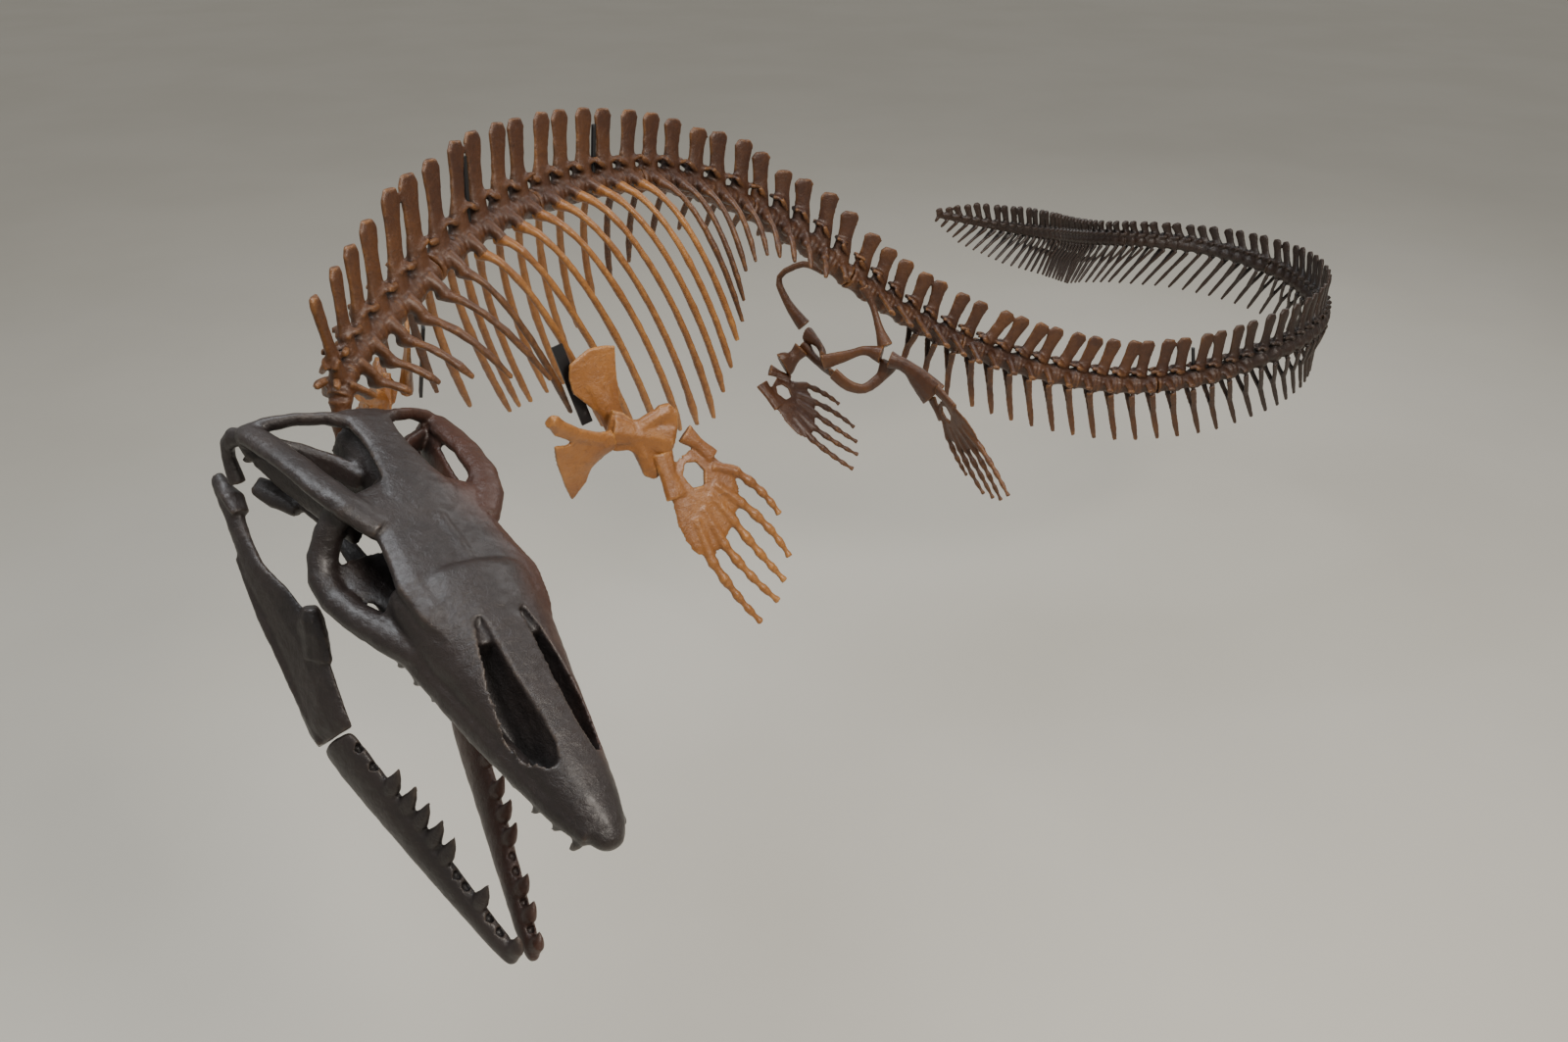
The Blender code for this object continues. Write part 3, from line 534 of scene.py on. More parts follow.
def wing(bm, number, side):
    middle, back, left, up = spine_frame(number)
    step, radius, reach = pitch(number), ramp(number, CENTRUM_R), ramp(number, SIDE_REACH)
    drop = ramp(number, RIB_DROP)
    line = [middle + left * side * radius * 0.5 + up * radius * 0.4,
            middle + left * side * (radius * 0.4 + reach * 0.6) + up * (0.004 - drop * 0.6),
            middle + left * side * reach - up * drop]
    tall = 0.013 if number <= RIB_LAST else 0.0065
    limb(bm, line, [(step * 0.24, tall), (step * 0.17, tall * 0.8), (step * 0.2, tall * 0.9)], up)


def chevron(bm, number):
    middle, back, left, up = spine_frame(number)
    step, radius = pitch(number), ramp(number, CENTRUM_R)
    drop, rake = ramp(number, CHEVRON_DROP), ramp(number, CHEVRON_RAKE)
    root = middle - up * radius * 0.8 + back * step * 0.3
    slope = middle + (back * rake - up) * drop - root
    joint, tip = root + slope * 0.5, root + slope
    for side in (1, -1):
        start = root + left * side * radius * 0.85
        limb(bm, [start, (start + joint) / 2 + left * side * 0.002, joint],
             [(0.0048, step * 0.17), (0.0042, step * 0.15), (0.0046, step * 0.16)], back)
    limb(bm, [joint - slope * 0.06, (joint + tip) / 2, tip],
         [(0.0056, step * 0.17), (0.005, step * 0.16), (0.0038, step * 0.11)], back)


print("vertebra recipe ready")

# %% [markdown]
# The ribs curve down from the wings on an arc that is part of an ellipse. The nine long pairs are pieces of
# their own, and the short ones are one with their vertebrae. A rib is wide at its head, thin in its upper
# half and thicker towards its blunt tip, with small swellings where it was mended.

# %% Ribs
RIB_WIDTH = (
    (1, 0.13), (3, 0.17), (5, 0.165), (6, 0.115), (8, 0.115), (10, 0.16), (14, 0.19), (18, 0.175),
    (24, 0.12),
)
RIB_HEIGHT = ((1, 0.3), (5, 0.38), (8, 0.4), (12, 0.4), (16, 0.37), (24, 0.3))
RIB_SWEEP = (
    (1, 22), (3, 36), (5, 57), (6, 76), (7, 88), (8, 96), (10, 100), (12, 100), (13, 92), (14, 84), (15, 76),
    (16, 70), (17, 62), (18, 50), (20, 38), (24, 24),
)
RIB_BACK = ((1, 0.25), (6, 0.22), (8, 0.45), (24, 0.45))
RIB_DROP = ((1, 0.03), (6, 0.018), (12, 0.0), (24, 0.0))
RIB_FIRST, RIB_LAST = 1, 24
LONG_RIBS = range(7, 16)
RIB_R = 0.0075


def rib_point(number, side, u):
    """A point on a rib's arc, from its root at 0 to its tip at 1. Side is 1 on the left, -1 on the right."""
    middle, back, left, up = spine_frame(number)
    angle = math.radians(ramp(number, RIB_SWEEP)) * u
    out = ramp(number, SIDE_REACH) + ramp(number, RIB_WIDTH) * math.sin(angle) * 0.85
    down = ramp(number, RIB_HEIGHT) * (1 - math.cos(angle))
    drift = ramp(number, RIB_BACK) * down
    return middle + left * side * out - up * (down + ramp(number, RIB_DROP)) + back * drift


def rib(bm, number, side, steps, thick):
    """A rib whose head sinks into the wing."""
    middle, back, left, up = spine_frame(number)
    points = [rib_point(number, side, k / steps) for k in range(steps + 1)]
    line = [points[0] - left * side * 0.014] + points
    halves = [(0.009, 0.01), (0.0095, 0.0115)]
    for k in range(1, steps + 1):
        u = k / steps
        mend = 0.0012 if (k * 7 + number * 5 + (2 if side > 0 else 0)) % 9 == 0 else 0.0
        round_off = 0.62 if k == steps else 1.0
        size = (thick * (0.92 + 0.22 * u) + 0.0035 * max(0.0, 1.0 - u * 4.0) + mend) * round_off
        halves.append((size, size * 0.84))
    tilts = [left * side] + [points[min(k + 1, steps)] - points[max(k - 1, 0)] for k in range(steps + 1)]
    over = tilts[1].cross(back) * side
    limb(bm, line, halves, over if over.length > 0.1 else up, 10)


LONG_RIB_STEPS = 16
for number in LONG_RIBS:
    for side, word in SIDES:
        clay = bmesh.new()
        rib(clay, number, side, LONG_RIB_STEPS, RIB_R)
        fuse(f"rib_{number - 6}_{word}", clay, golden, grain=0.0028)

# %% [markdown]
# The spine is built in twelve stretches, as in the CAD model, each fused into one skin. A core runs through
# every stretch in place of the discs between the bones, so that the narrow joints show as dark rings.

# %% Stretches of vertebrae
STRETCHES = (
    ("neck_vertebrae", -2, 5, 0.003), ("back_vertebrae_front", 6, 10, 0.003),
    ("back_vertebrae_middle", 11, 15, 0.003), ("back_vertebrae_rear", 16, 20, 0.003),
    ("loin_vertebrae", 21, 25, 0.003), ("hip_vertebrae", 26, 31, 0.003),
    ("tail_vertebrae_root", 32, 41, 0.003), ("tail_vertebrae_middle", 42, 53, 0.003),
    ("tail_vertebrae_bend", 54, 65, 0.003), ("tail_vertebrae_far", 66, 78, 0.0028),
    ("tail_vertebrae_return", 79, 92, 0.0026), ("tail_vertebrae_tip", 93, 108, 0.0024),
)
CORE_STEPS = 24
CORE_END = 0.48
CORE_SHARE = 0.78
LONGER_SHORT_RIBS = (6, 16, 17, 18)
for name, first, last, grain in STRETCHES:
    clay = bmesh.new()
    core, core_r = [], []
    for k in range(CORE_STEPS + 1):
        core.append(spine_point(first - CORE_END + (last - first + 2 * CORE_END) * k / CORE_STEPS))
        core_r.append(CORE_SHARE * ramp(first + (last - first) * k / CORE_STEPS, CENTRUM_R))
    limb(clay, core, [(r, r) for r in core_r], UP)
    for number in range(first, last + 1):
        spool(clay, number)
        if number >= SPINE_FIRST:
            arch_and_blade(clay, number)
        for side in (1, -1):
            if SPINE_FIRST <= number <= SIDE_LAST:
                wing(clay, number, side)
            if RIB_FIRST <= number <= RIB_LAST and number not in LONG_RIBS:
                rib(clay, number, side, 8 if number in LONGER_SHORT_RIBS else 5, RIB_R * 0.92)
        if number >= CHEVRON_FIRST:
            chevron(clay, number)
    fuse(name, clay, brown, grain, rounding=2)

# %% [markdown]
# The skull is a long wedge of a snout with two tall nostril slots, a flat roof between the eyes, and behind
# it two large openings for the jaw muscles, framed by thin arches. The snout is carved first. The roof,
# arches, cheeks and palate are then added as limbs, and all is fused. The head has units of its own, in which
# the skull is 70 long.

# %% Head frame
HEAD_AT = Vector((-0.266, -0.781, -0.299))
HEAD_FORWARD = Vector((0.608, -0.719, -0.336))
HEAD_LEFT = Vector((0.67, 0.692, -0.269))
HEAD_UP = Vector((0.426, -0.062, 0.903))
HEAD_UNIT = Vector((0.0096, 0.0089, 0.0084))

# Each mandible's socket, and its directions forward and up.
JAWS = {
    1: (Vector((-0.201, -0.672, -0.383)), Vector((0.306, -0.763, -0.569)), Vector((0.579, -0.325, 0.748))),
    -1: (Vector((-0.375, -0.861, -0.305)), Vector((0.531, -0.519, -0.67)), Vector((0.67, -0.227, 0.707))),
}


def head(x, y, z):
    """A point given in the skull's own units."""
    forward, left, up = HEAD_FORWARD * x * HEAD_UNIT.x, HEAD_LEFT * y * HEAD_UNIT.y, HEAD_UP * z * HEAD_UNIT.z
    return HEAD_AT + forward + left + up


HEAD_SCALE = 0.0093


def head_limb(bm, points, halves, sides=8):
    """A limb in the skull's own units, mirrored to both sides unless it lies on the middle line."""
    for side in ((1, -1) if any(p[1] for p in points) else (1,)):
        limb(bm, [head(x, y * side, z) for x, y, z in points],
             [(a * HEAD_SCALE, b * HEAD_SCALE) for a, b in halves], HEAD_UP, sides)


def carve(bm, cutters, levels):
    """The loft in bm, softened, with every cutter taken out of it, as a new bmesh."""
    block = object_from("block", bm)
    step = block.modifiers.new("soft cage", "SUBSURF")
    step.levels = step.render_levels = levels
    tools = [object_from("cutter", cutter) for cutter in cutters]
    for tool in tools:
        step = block.modifiers.new("cut", "BOOLEAN")
        step.operation = "DIFFERENCE"
        step.object = tool
    mesh = finished_mesh(block, "carved")
    for tool in tools:
        bpy.data.objects.remove(tool)
    carved = bmesh.new()
    carved.from_mesh(mesh)
    bpy.data.meshes.remove(mesh)
    return carved


print("skull length:", round(HEAD_UNIT.x * 70, 2))

# %% [markdown]
# The snout is a soft loft: a limb of few sides, smoothed by subdivision. Each nostril slot is another limb,
# taken away with a Boolean, because the opening goes right through the roof and its rim should be crisp.

# %% Snout with nostril slots
SNOUT = (
    (71.0, 2.2, 1.2, 1.0), (69.5, 2.6, 2.6, 2.2), (66.0, 3.2, 3.8, 3.0), (62.0, 3.8, 4.8, 3.9),
    (56.0, 4.5, 6.1, 4.7), (48.0, 5.4, 7.9, 5.6), (41.0, 6.2, 9.5, 6.5), (35.0, 7.0, 10.6, 6.9),
    (31.5, 7.8, 10.8, 6.5), (29.5, 8.6, 9.8, 5.2),
)
SLOT = (
    (40.2, 3.3, 12.4, 0.4, 3.0), (43.5, 3.7, 11.2, 1.0, 3.8), (49.0, 4.1, 9.6, 1.6, 4.8),
    (54.0, 4.0, 7.4, 1.9, 5.2), (57.5, 3.7, 5.6, 1.6, 5.6), (59.8, 3.3, 5.0, 0.6, 4.0),
)
SLOT_LEAN = ((40, 1.0), (50, 0.8), (58, 0.4))
snout = bmesh.new()
head_limb(snout, [(x, 0, z) for x, z, _, _ in SNOUT], [(a, b) for _, _, a, b in SNOUT], 14)
slots = []
for side in (1, -1):
    slot = bmesh.new()
    path = [head(x, y * side - ramp(x, SLOT_LEAN), z) for x, y, z, _, _ in SLOT]
    limb(slot, path, [(a * HEAD_SCALE, b * HEAD_SCALE) for _, _, _, a, b in SLOT], HEAD_UP, 10)
    slots.append(slot)
skull = carve(snout, slots, 2)
print("snout faces:", len(skull.faces))

# %% [markdown]
# The roof is a broad, slightly domed shield with a waist at the eyes. Each part behind and below it is a bent
# limb with its own line and thicknesses, from the middle table and the temple arches to the palate and the
# walls round the brain.

# %% Roof, arches and brain case
SKULL_PARTS = {
    "roof": (((43, 0, 8.8), (37, 0, 9.9), (32, 0, 10.6), (28, 0, 11.0), (24, 0, 11.3), (21, 0, 11.6), (18.6,
        0, 11.8), (16.4, 0, 12.0), (14.5, 0, 12.2)), ((7.4, 2.4), (10.0, 2.5), (10.7, 2.5), (9.9, 2.3), (9.3,
        2.1), (9.8, 2.0), (11.6, 1.9), (9.2, 1.7), (4.6, 1.4)), 14),
    "median ridge": (((48, 0, 10.0), (38, 0, 12.2), (29, 0, 13.3), (22, 0, 13.6)), ((0.8, 0.5), (1.0, 0.6),
        (1.0, 0.5), (0.9, 0.4)), 8),
    "table": (((22.8, 0, 13.0), (21.4, 0, 13.2), (18, 0, 13.5), (14, 0, 13.5), (8, 0, 13.3), (3, 0, 13.1),
        (0.4, 0, 12.6)), ((2.2, 0.7), (4.4, 0.9), (5.6, 1.0), (4.2, 1.1), (3.2, 1.1), (3.5, 1.2), (4.4, 1.1)),
        12),
    "brain case": (((17, 0, 9.4), (12, 0, 8.4), (6, 0, 7.8), (1.0, 0, 7.6)), ((2.4, 3.8), (2.9, 4.4), (3.2,
        4.6), (3.4, 4.2)), 10),
    "condyle": (((3, 0, 5.4), (0.8, 0, 5.2), (-0.4, 0, 5.0)), ((2.0, 2.0), (1.9, 1.9), (1.3, 1.3)), 10),
    "temple arch": (((22.5, 8.2, 11.6), (18.6, 11.0, 12.3), (14, 12.9, 12.2), (8, 14.0, 11.2), (2.5, 14.6,
        9.5), (-0.8, 15.0, 8.2), (-2.2, 15.2, 7.0)), ((2.2, 1.5), (2.4, 1.6), (2.3, 1.4), (2.2, 1.3), (2.2,
        1.4), (2.0, 1.5), (1.5, 1.6)), 12),
    "temple wall": (((19.0, 8.8, 8.0), (14, 9.8, 7.0), (9, 11.0, 6.2), (4, 12.4, 5.6), (-0.4, 13.6, 5.2)),
        ((1.2, 2.4), (0.8, 2.7), (0.7, 2.8), (0.7, 2.6), (0.9, 2.3)), 10),
    "hinge": (((7.5, 10.2, 0.8), (4.0, 11.8, 0.2), (0.8, 13.2, -0.6)), ((1.2, 1.0), (1.7, 1.5), (1.3, 1.1)),
        10),
    "back bar": (((2.4, 2.2, 12.8), (0.6, 5.6, 12.2), (-0.8, 9.6, 11.0), (-1.7, 13.0, 9.3), (-2.0, 15.0,
        7.8)), ((1.2, 1.2), (0.8, 1.1), (0.8, 1.1), (1.0, 1.2), (1.2, 1.3)), 8),
    "cheek": (((43, 7.0, 4.4), (38, 8.4, 3.4), (33, 10.2, 2.2), (28, 12.0, 0.9), (24, 13.1, 0.5), (21, 13.4,
        1.4), (19, 13.0, 3.4), (17.8, 12.3, 6.6), (17.2, 11.3, 9.6), (17.4, 10.4, 12.2)), ((1.2, 1.4), (2.2,
        2.4), (2.4, 2.4), (2.1, 2.1), (2.0, 2.1), (2.1, 2.1), (2.1, 1.9), (2.0, 1.8), (2.3, 1.9), (2.6, 1.9)),
        12),
    "eye floor": (((37, 6.4, 3.6), (33.5, 5.2, 2.6), (29, 5.4, 2.2), (24, 6.8, 2.2), (20, 7.6, 2.6)), ((3.6,
        1.6), (2.0, 1.0), (2.8, 0.9), (4.4, 1.0), (4.2, 1.4)), 10),
    "tooth edge": (((68.5, 2.2, 2.4), (64, 3.5, 2.0), (58, 4.9, 1.9), (50, 6.5, 2.0), (42, 8.0, 2.3), (35,
        9.3, 2.9)), ((1.2, 1.6), (1.4, 2.0), (1.4, 2.2), (1.5, 2.4), (1.6, 2.4), (1.8, 2.4)), 10),
    "palate": (((37, 4.8, 2.2), (28, 6.2, 1.2), (20, 6.8, 1.2), (12, 7.6, 1.5), (6.0, 9.6, 1.4), (2.4, 11.6,
        0.8), (0.4, 13.0, 0.2)), ((2.4, 0.7), (2.6, 0.6), (1.8, 0.7), (1.1, 0.9), (0.9, 1.0), (0.9, 1.0),
        (0.8, 0.8)), 8),
    "palate prong": (((21, 6.4, 1.0), (23.4, 9.5, 1.0), (24.4, 13.0, 0.8)), ((1.2, 0.7), (0.9, 0.6), (1.0,
        0.8)), 8),
    "eye wall": (((33, 4.6, 5.8), (27, 3.8, 6.0), (21, 3.2, 6.6), (16, 2.8, 7.2)), ((1.4, 4.6), (1.1, 4.8),
        (1.1, 4.8), (1.4, 4.2)), 8),
    "brow strut": (((31.0, 9.2, 11.0), (30.6, 8.6, 7.5), (32.0, 9.0, 3.2)), ((1.6, 1.6), (1.6, 1.1), (1.8,
        1.6)), 8),
    "throat prop": (((13.6, 3.0, 12.6), (13.4, 4.8, 8.0), (13.0, 6.6, 1.2)), ((0.7, 0.7), (0.5, 0.5), (0.7,
        0.7)), 8),
    "ear wall": (((9, 2.4, 6.6), (5, 5.0, 6.0), (1.6, 9.0, 6.0), (-0.6, 13.2, 6.4)), ((1.6, 2.6), (1.3, 2.6),
        (1.2, 2.4), (1.2, 1.8)), 8),
    "corner": (((-1.8, 15.0, 8.0), (-1.4, 14.6, 6.0), (0.4, 14.2, 4.6)), ((1.6, 1.6), (1.4, 1.6), (0.9, 1.0)),
        8),
}
for line, halves, sides in SKULL_PARTS.values():
    head_limb(skull, line, halves, sides)
print("skull parts:", len(SKULL_PARTS))

# %% [markdown]
# Most upper teeth of the real one are worn to stubs. A tooth is a short four-step limb that narrows to a
# point and leans back. Three of the front ones stand a little longer.

# %% Upper teeth, then the fused skull
UPPER_TEETH = (
    (67.6, 2.6, 2.3), (64.6, 3.5, 1.6), (61.4, 4.3, 2.1), (57.6, 5.1, 1.1), (53.6, 5.9, 0.9),
    (49.8, 6.7, 1.0), (46.2, 7.4, 1.0), (42.6, 8.1, 0.9), (39.4, 8.8, 1.3), (36.2, 9.4, 1.1),
    (33.4, 9.8, 1.0),
)
for x, y, tall in UPPER_TEETH:
    for side in (1, -1):
        points = [head(x, y * side * 0.92, 1.8), head(x, y * side, 0.0),
                  head(x - 0.3, y * side, -tall * 0.6), head(x - 0.7, y * side * 0.99, -tall)]
        limb(skull, points, [(r, r) for r in (0.0075, 0.007, 0.0045, 0.0012)], HEAD_FORWARD)
fuse("skull", skull, dark, grain=0.0031, unevenness=0.0022)

# %% [markdown]
# Each lower jaw is in two halves with a joint between them, so that the real animal could bow it outwards.
# Both halves follow one bent line, which also sags a little in the middle.

# %% Jaw line
CM = 0.01


def jaw_frame(side):
    """Where a mandible starts, and its directions forward, to the left and up."""
    start, forward, up = JAWS[side]
    forward = forward.normalized()
    left = up.cross(forward).normalized()
    return start, forward, left, forward.cross(left)


def jaw_point(side, x, z):
    """A point on a mandible, so far along it and so high, in centimetres, on its bent middle line."""
    start, forward, left, up = jaw_frame(side)
    sideways = ramp(x, JAW_SHIFT) + side * ramp(x, JAW_BOW)
    return start + (forward * x + up * (z - ramp(x, JAW_SAG)) + left * sideways) * CM


JAW_SAG = ((0, 0.0), (36, 3.3), (69, 0.0))
JAW_SHIFT = ((-5, 0.0), (9, -0.7), (30, -0.5), (36, -0.2), (49, 1.05), (60, 1.7), (69, 2.35))
JAW_BOW = ((-5, 0.0), (9, 1.3), (24, 1.1), (30, 1.7), (36, 1.5), (49, 0.9), (60, 0.25), (69, -0.2))


def jaw_limb(bm, side, stations, sides=10):
    _, _, left, up = jaw_frame(side)
    line = [jaw_point(side, x, z) for x, z, _, _ in stations]
    limb(bm, line, [(a * CM, b * CM) for _, _, a, b in stations], up, sides)


print("jaw line ready")

# %% [markdown]
# The rear half is one tall thin plate, with a socket at its end, a thicker lower edge and a crest where the
# muscle pulled.

# %% Rear halves of the lower jaw
REAR_PLATE = (
    (-5.2, -0.9, 0.7, 1.0), (-3.0, -0.6, 1.2, 1.5), (0.0, -0.4, 1.3, 1.5), (4.0, -0.6, 0.9, 1.7),
    (9.0, -0.4, 0.8, 2.4), (14.0, 0.3, 0.9, 4.0), (18.0, 0.6, 1.0, 5.0), (22.0, 0.4, 1.05, 5.1),
    (27.0, -0.2, 1.1, 4.9), (31.0, -0.6, 1.1, 4.6), (32.9, -0.6, 0.9, 4.2),
)
for side, word in SIDES:
    clay = bmesh.new()
    jaw_limb(clay, side, REAR_PLATE)
    jaw_limb(clay, side, ((-4.6, -1.2, 0.9, 0.9), (-1.0, 0.7, 1.6, 0.9), (1.6, 1.1, 1.3, 0.7)))
    jaw_limb(clay, side, ((6.0, -2.0, 0.9, 0.8), (14.0, -2.6, 1.1, 1.0), (24.0, -3.2, 1.25, 1.0),
                          (32.6, -3.0, 1.2, 1.0)))
    crest = [jaw_point(side, x, z) for x, z in ((23.0, 2.8), (21.0, 4.4), (19.0, 5.8), (17.8, 6.6))]
    limb(clay, crest, [(0.012, 0.034), (0.012, 0.028), (0.014, 0.02), (0.009, 0.012)], jaw_frame(side)[1])
    fuse(f"mandible_rear_{word}", clay, dark, grain=0.0026, unevenness=0.0022)

# %% [markdown]
# The front half is carved like the snout, with a pit for each lost tooth. The teeth lean back a little, and
# stand taller on the right, where the photograph shows them best.

# %% Front halves of the lower jaw, with teeth and sockets
FRONT_PLATE = (
    (33.0, -0.6, 1.0, 3.5), (35.0, -0.6, 1.15, 3.7), (44.0, -0.7, 1.3, 3.2), (52.0, -0.8, 1.35, 2.7),
    (58.0, -0.8, 1.3, 2.3), (64.0, -0.8, 1.25, 1.9), (68.0, -0.7, 1.1, 1.5), (69.6, -0.7, 0.7, 0.9),
)
LOWER_TEETH = {
    -1: ((42.0, 2.8), (45.0, 3.3), (47.6, 3.4), (50.4, 3.4), (53.0, 3.2), (60.2, 2.9), (67.6, 1.6)),
    1: ((42.0, 1.6), (46.6, 2.2), (50.0, 2.4), (53.2, 2.2), (60.0, 2.0), (63.6, 1.8), (67.4, 1.2)),
}
SOCKETS = {-1: (36.0, 39.0, 56.2, 58.0, 63.0, 65.2), 1: (37.0, 40.0, 56.0, 58.0, 62.0, 65.6)}


def jaw_top(x):
    return ramp(x, ((33, 3.0), (44, 2.5), (55, 1.8), (64, 1.1), (69.5, 0.6)))


for side, word in SIDES:
    start, forward, left, up = jaw_frame(side)
    block = bmesh.new()
    jaw_limb(block, side, FRONT_PLATE, 12)
    holes = []
    for x in SOCKETS[side]:
        hole = bmesh.new()
        line = [jaw_point(side, x, jaw_top(x) - 1.0), jaw_point(side, x - 0.2, jaw_top(x) + 1.6)]
        limb(hole, line, [(0.0052, 0.0066), (0.006, 0.0075)], forward, 10)
        holes.append(hole)
    clay = carve(block, holes, 2)
    for x, tall in LOWER_TEETH[side]:
        top = jaw_top(x)
        points = [jaw_point(side, x + 0.4, top - 1.0), jaw_point(side, x + 0.2, top + 0.5),
                  jaw_point(side, x - 0.2, top + 0.5 + tall * 0.45),
                  jaw_point(side, x - 0.9, top + 0.5 + tall)]
        limb(clay, points, [(0.009, 0.014), (0.0082, 0.0125), (0.0056, 0.0078),
                            (0.0011, 0.0015)], forward, 10)
    fuse(f"dentary_{word}", clay, dark, grain=0.0022, rounding=2)

# %% [markdown]
# The quadrate hangs the jaw from the skull. From the side it is shaped like a hook round the place of the
# ear, so it is a thick bent limb with a thin curl inside its curve.

# %% Quadrates
HOOK = ((-2.2, 15.2, 6.8), (-3.8, 15.8, 5.4), (-4.4, 15.9, 3.4), (-3.9, 15.6, 1.4), (-2.8, 15.1, -0.2),
        (-1.6, 14.6, -1.8))
HOOK_HALVES = ((0.013, 0.011), (0.014, 0.01), (0.013, 0.009), (0.012, 0.009), (0.013, 0.01), (0.013, 0.011))
CURL = ((-2.4, 15.0, 6.4), (-1.0, 14.6, 5.2), (-0.6, 14.4, 3.8), (-1.6, 14.5, 3.0))
CURL_HALVES = ((0.008, 0.008), (0.007, 0.007), (0.006, 0.006), (0.005, 0.005))
for side, word in SIDES:
    clay = bmesh.new()
    for line, halves in ((HOOK, HOOK_HALVES), (CURL, CURL_HALVES)):
        limb(clay, [head(x, y * side, z) for x, y, z in line], halves, HEAD_LEFT)
    fuse(f"quadrate_{word}", clay, dark, grain=0.0024)

# %% [markdown]
# The shoulder has a fan-shaped blade, a second fan below it that points inwards, and the short broad upper
# arm. Flat bones start as slabs with thicker limbs laid where the bone gathers towards its joint.

# %% Shoulder bones
CHEST = 8


def chest(side, out, up, back):
    """A point beside the chest vertebra: out to a side, up and back."""
    middle, to_back, left, to_up = spine_frame(CHEST)
    return middle + left * side * out + to_up * up + to_back * back


def chest_way(side, out, up, back):
    return (chest(side, out, up, back) - spine_point(CHEST)).normalized()


def spread(bm, origin, along, across, outline, half_thick, swellings):
    """A flat bone with low swellings: each is (along, across, half width, half height) points in a row."""
    slab(bm, origin, along, across, outline, half_thick)
    over = along.cross(across)
    for row in swellings:
        line = [origin + along * a + across * b for a, b, _, _ in row]
        limb(bm, line, [(w, h) for _, _, w, h in row], over)


SCAPULA = (
    (0.0, -0.04), (-0.012, 0.0), (-0.008, 0.026), (0.0, 0.045), (0.03, 0.036), (0.055, 0.03),
    (0.095, 0.022), (0.13, 0.022), (0.134, -0.016), (0.112, -0.016), (0.09, -0.026), (0.07, -0.038),
    (0.05, -0.05), (0.022, -0.049),
)
CORACOID = (
    (-0.006, -0.022), (0.018, -0.044), (0.033, -0.064), (0.046, -0.096), (0.05, -0.128), (0.06, -0.138),
    (0.074, -0.128), (0.073, -0.1), (0.06, -0.074), (0.054, -0.056), (0.066, -0.064), (0.083, -0.08),
    (0.096, -0.04), (0.104, 0.01), (0.108, 0.051), (0.07, 0.038), (0.048, 0.018), (0.022, 0.018),
    (-0.006, 0.022),
)
ARM_PLATE = (
    (-0.012, -0.032), (0.012, -0.034), (0.03, -0.028), (0.048, -0.034), (0.058, -0.052), (0.07, -0.068),
    (0.088, -0.071), (0.101, -0.058), (0.108, -0.03), (0.11, 0.0), (0.108, 0.03), (0.1, 0.054),
    (0.084, 0.063), (0.068, 0.056), (0.056, 0.037), (0.044, 0.026), (0.026, 0.024), (0.008, 0.033),
    (-0.012, 0.034),
)
SCAPULA_SWELLINGS = (((0.004, 0.0, 0.03, 0.004), (0.045, -0.006, 0.026, 0.006), (0.085, -0.004, 0.02, 0.01),
                      (0.132, 0.002, 0.021, 0.014)),)
CORACOID_SWELLINGS = (
    ((-0.008, 0.0, 0.022, 0.012), (0.03, -0.01, 0.026, 0.009), (0.085, 0.0, 0.034, 0.004)),
    ((0.01, -0.014, 0.014, 0.01), (0.04, -0.066, 0.012, 0.008), (0.06, -0.112, 0.012, 0.008),
     (0.066, -0.132, 0.012, 0.01)),
)
ARM_SWELLINGS = (
    ((-0.006, 0.0, 0.03, 0.019), (0.036, 0.0, 0.02, 0.016), (0.07, 0.0, 0.026, 0.014),
     (0.104, 0.0, 0.034, 0.013)),
    ((0.04, -0.008, 0.016, 0.013), (0.074, -0.048, 0.015, 0.013), (0.092, -0.056, 0.011, 0.011)),
    ((0.04, 0.008, 0.016, 0.013), (0.068, 0.038, 0.013, 0.012), (0.088, 0.05, 0.012, 0.011)),
)
ARM_START, ARM_END = (0.228, -0.312, -0.034), (0.3, -0.35, 0.026)
for side, word in SIDES:
    along = chest_way(side, 0.1, -0.42, 0.0)
    across = squared(chest_way(side, 0.42, 0.1, 0.55), along)
    clay = bmesh.new()
    spread(clay, chest(side, 0.181, -0.195, -0.002), along, across, SCAPULA, 0.0036, SCAPULA_SWELLINGS)
    fuse(f"scapula_{word}", clay, golden, grain=0.0026, rounding=4)
    inward = chest_way(side, -0.35, -0.3, -0.55)
    wide = squared(chest_way(side, 0.0, -0.8, 0.35), inward)
    clay = bmesh.new()
    spread(clay, chest(side, 0.226, -0.325, -0.05), inward, wide, CORACOID, 0.0036, CORACOID_SWELLINGS)
    fuse(f"coracoid_{word}", clay, golden, grain=0.0026, rounding=4)
    clay = bmesh.new()
    start = chest(side, *ARM_START)
    shaft = (chest(side, *ARM_END) - start).normalized()
    flat = shaft.cross(across.cross(along)).normalized()
    spread(clay, start, shaft, flat, ARM_PLATE, 0.007, ARM_SWELLINGS)
    fuse(f"humerus_{word}", clay, golden, grain=0.0026, rounding=4)

# %% [markdown]
# A paddle is forearm, wrist and five fingers in one plane. The palm is a slab with a hole at the wrist, cut
# before fusing, with raised bones laid on it. Each finger bone is an hourglass: a limb that is wide at both
# ends.

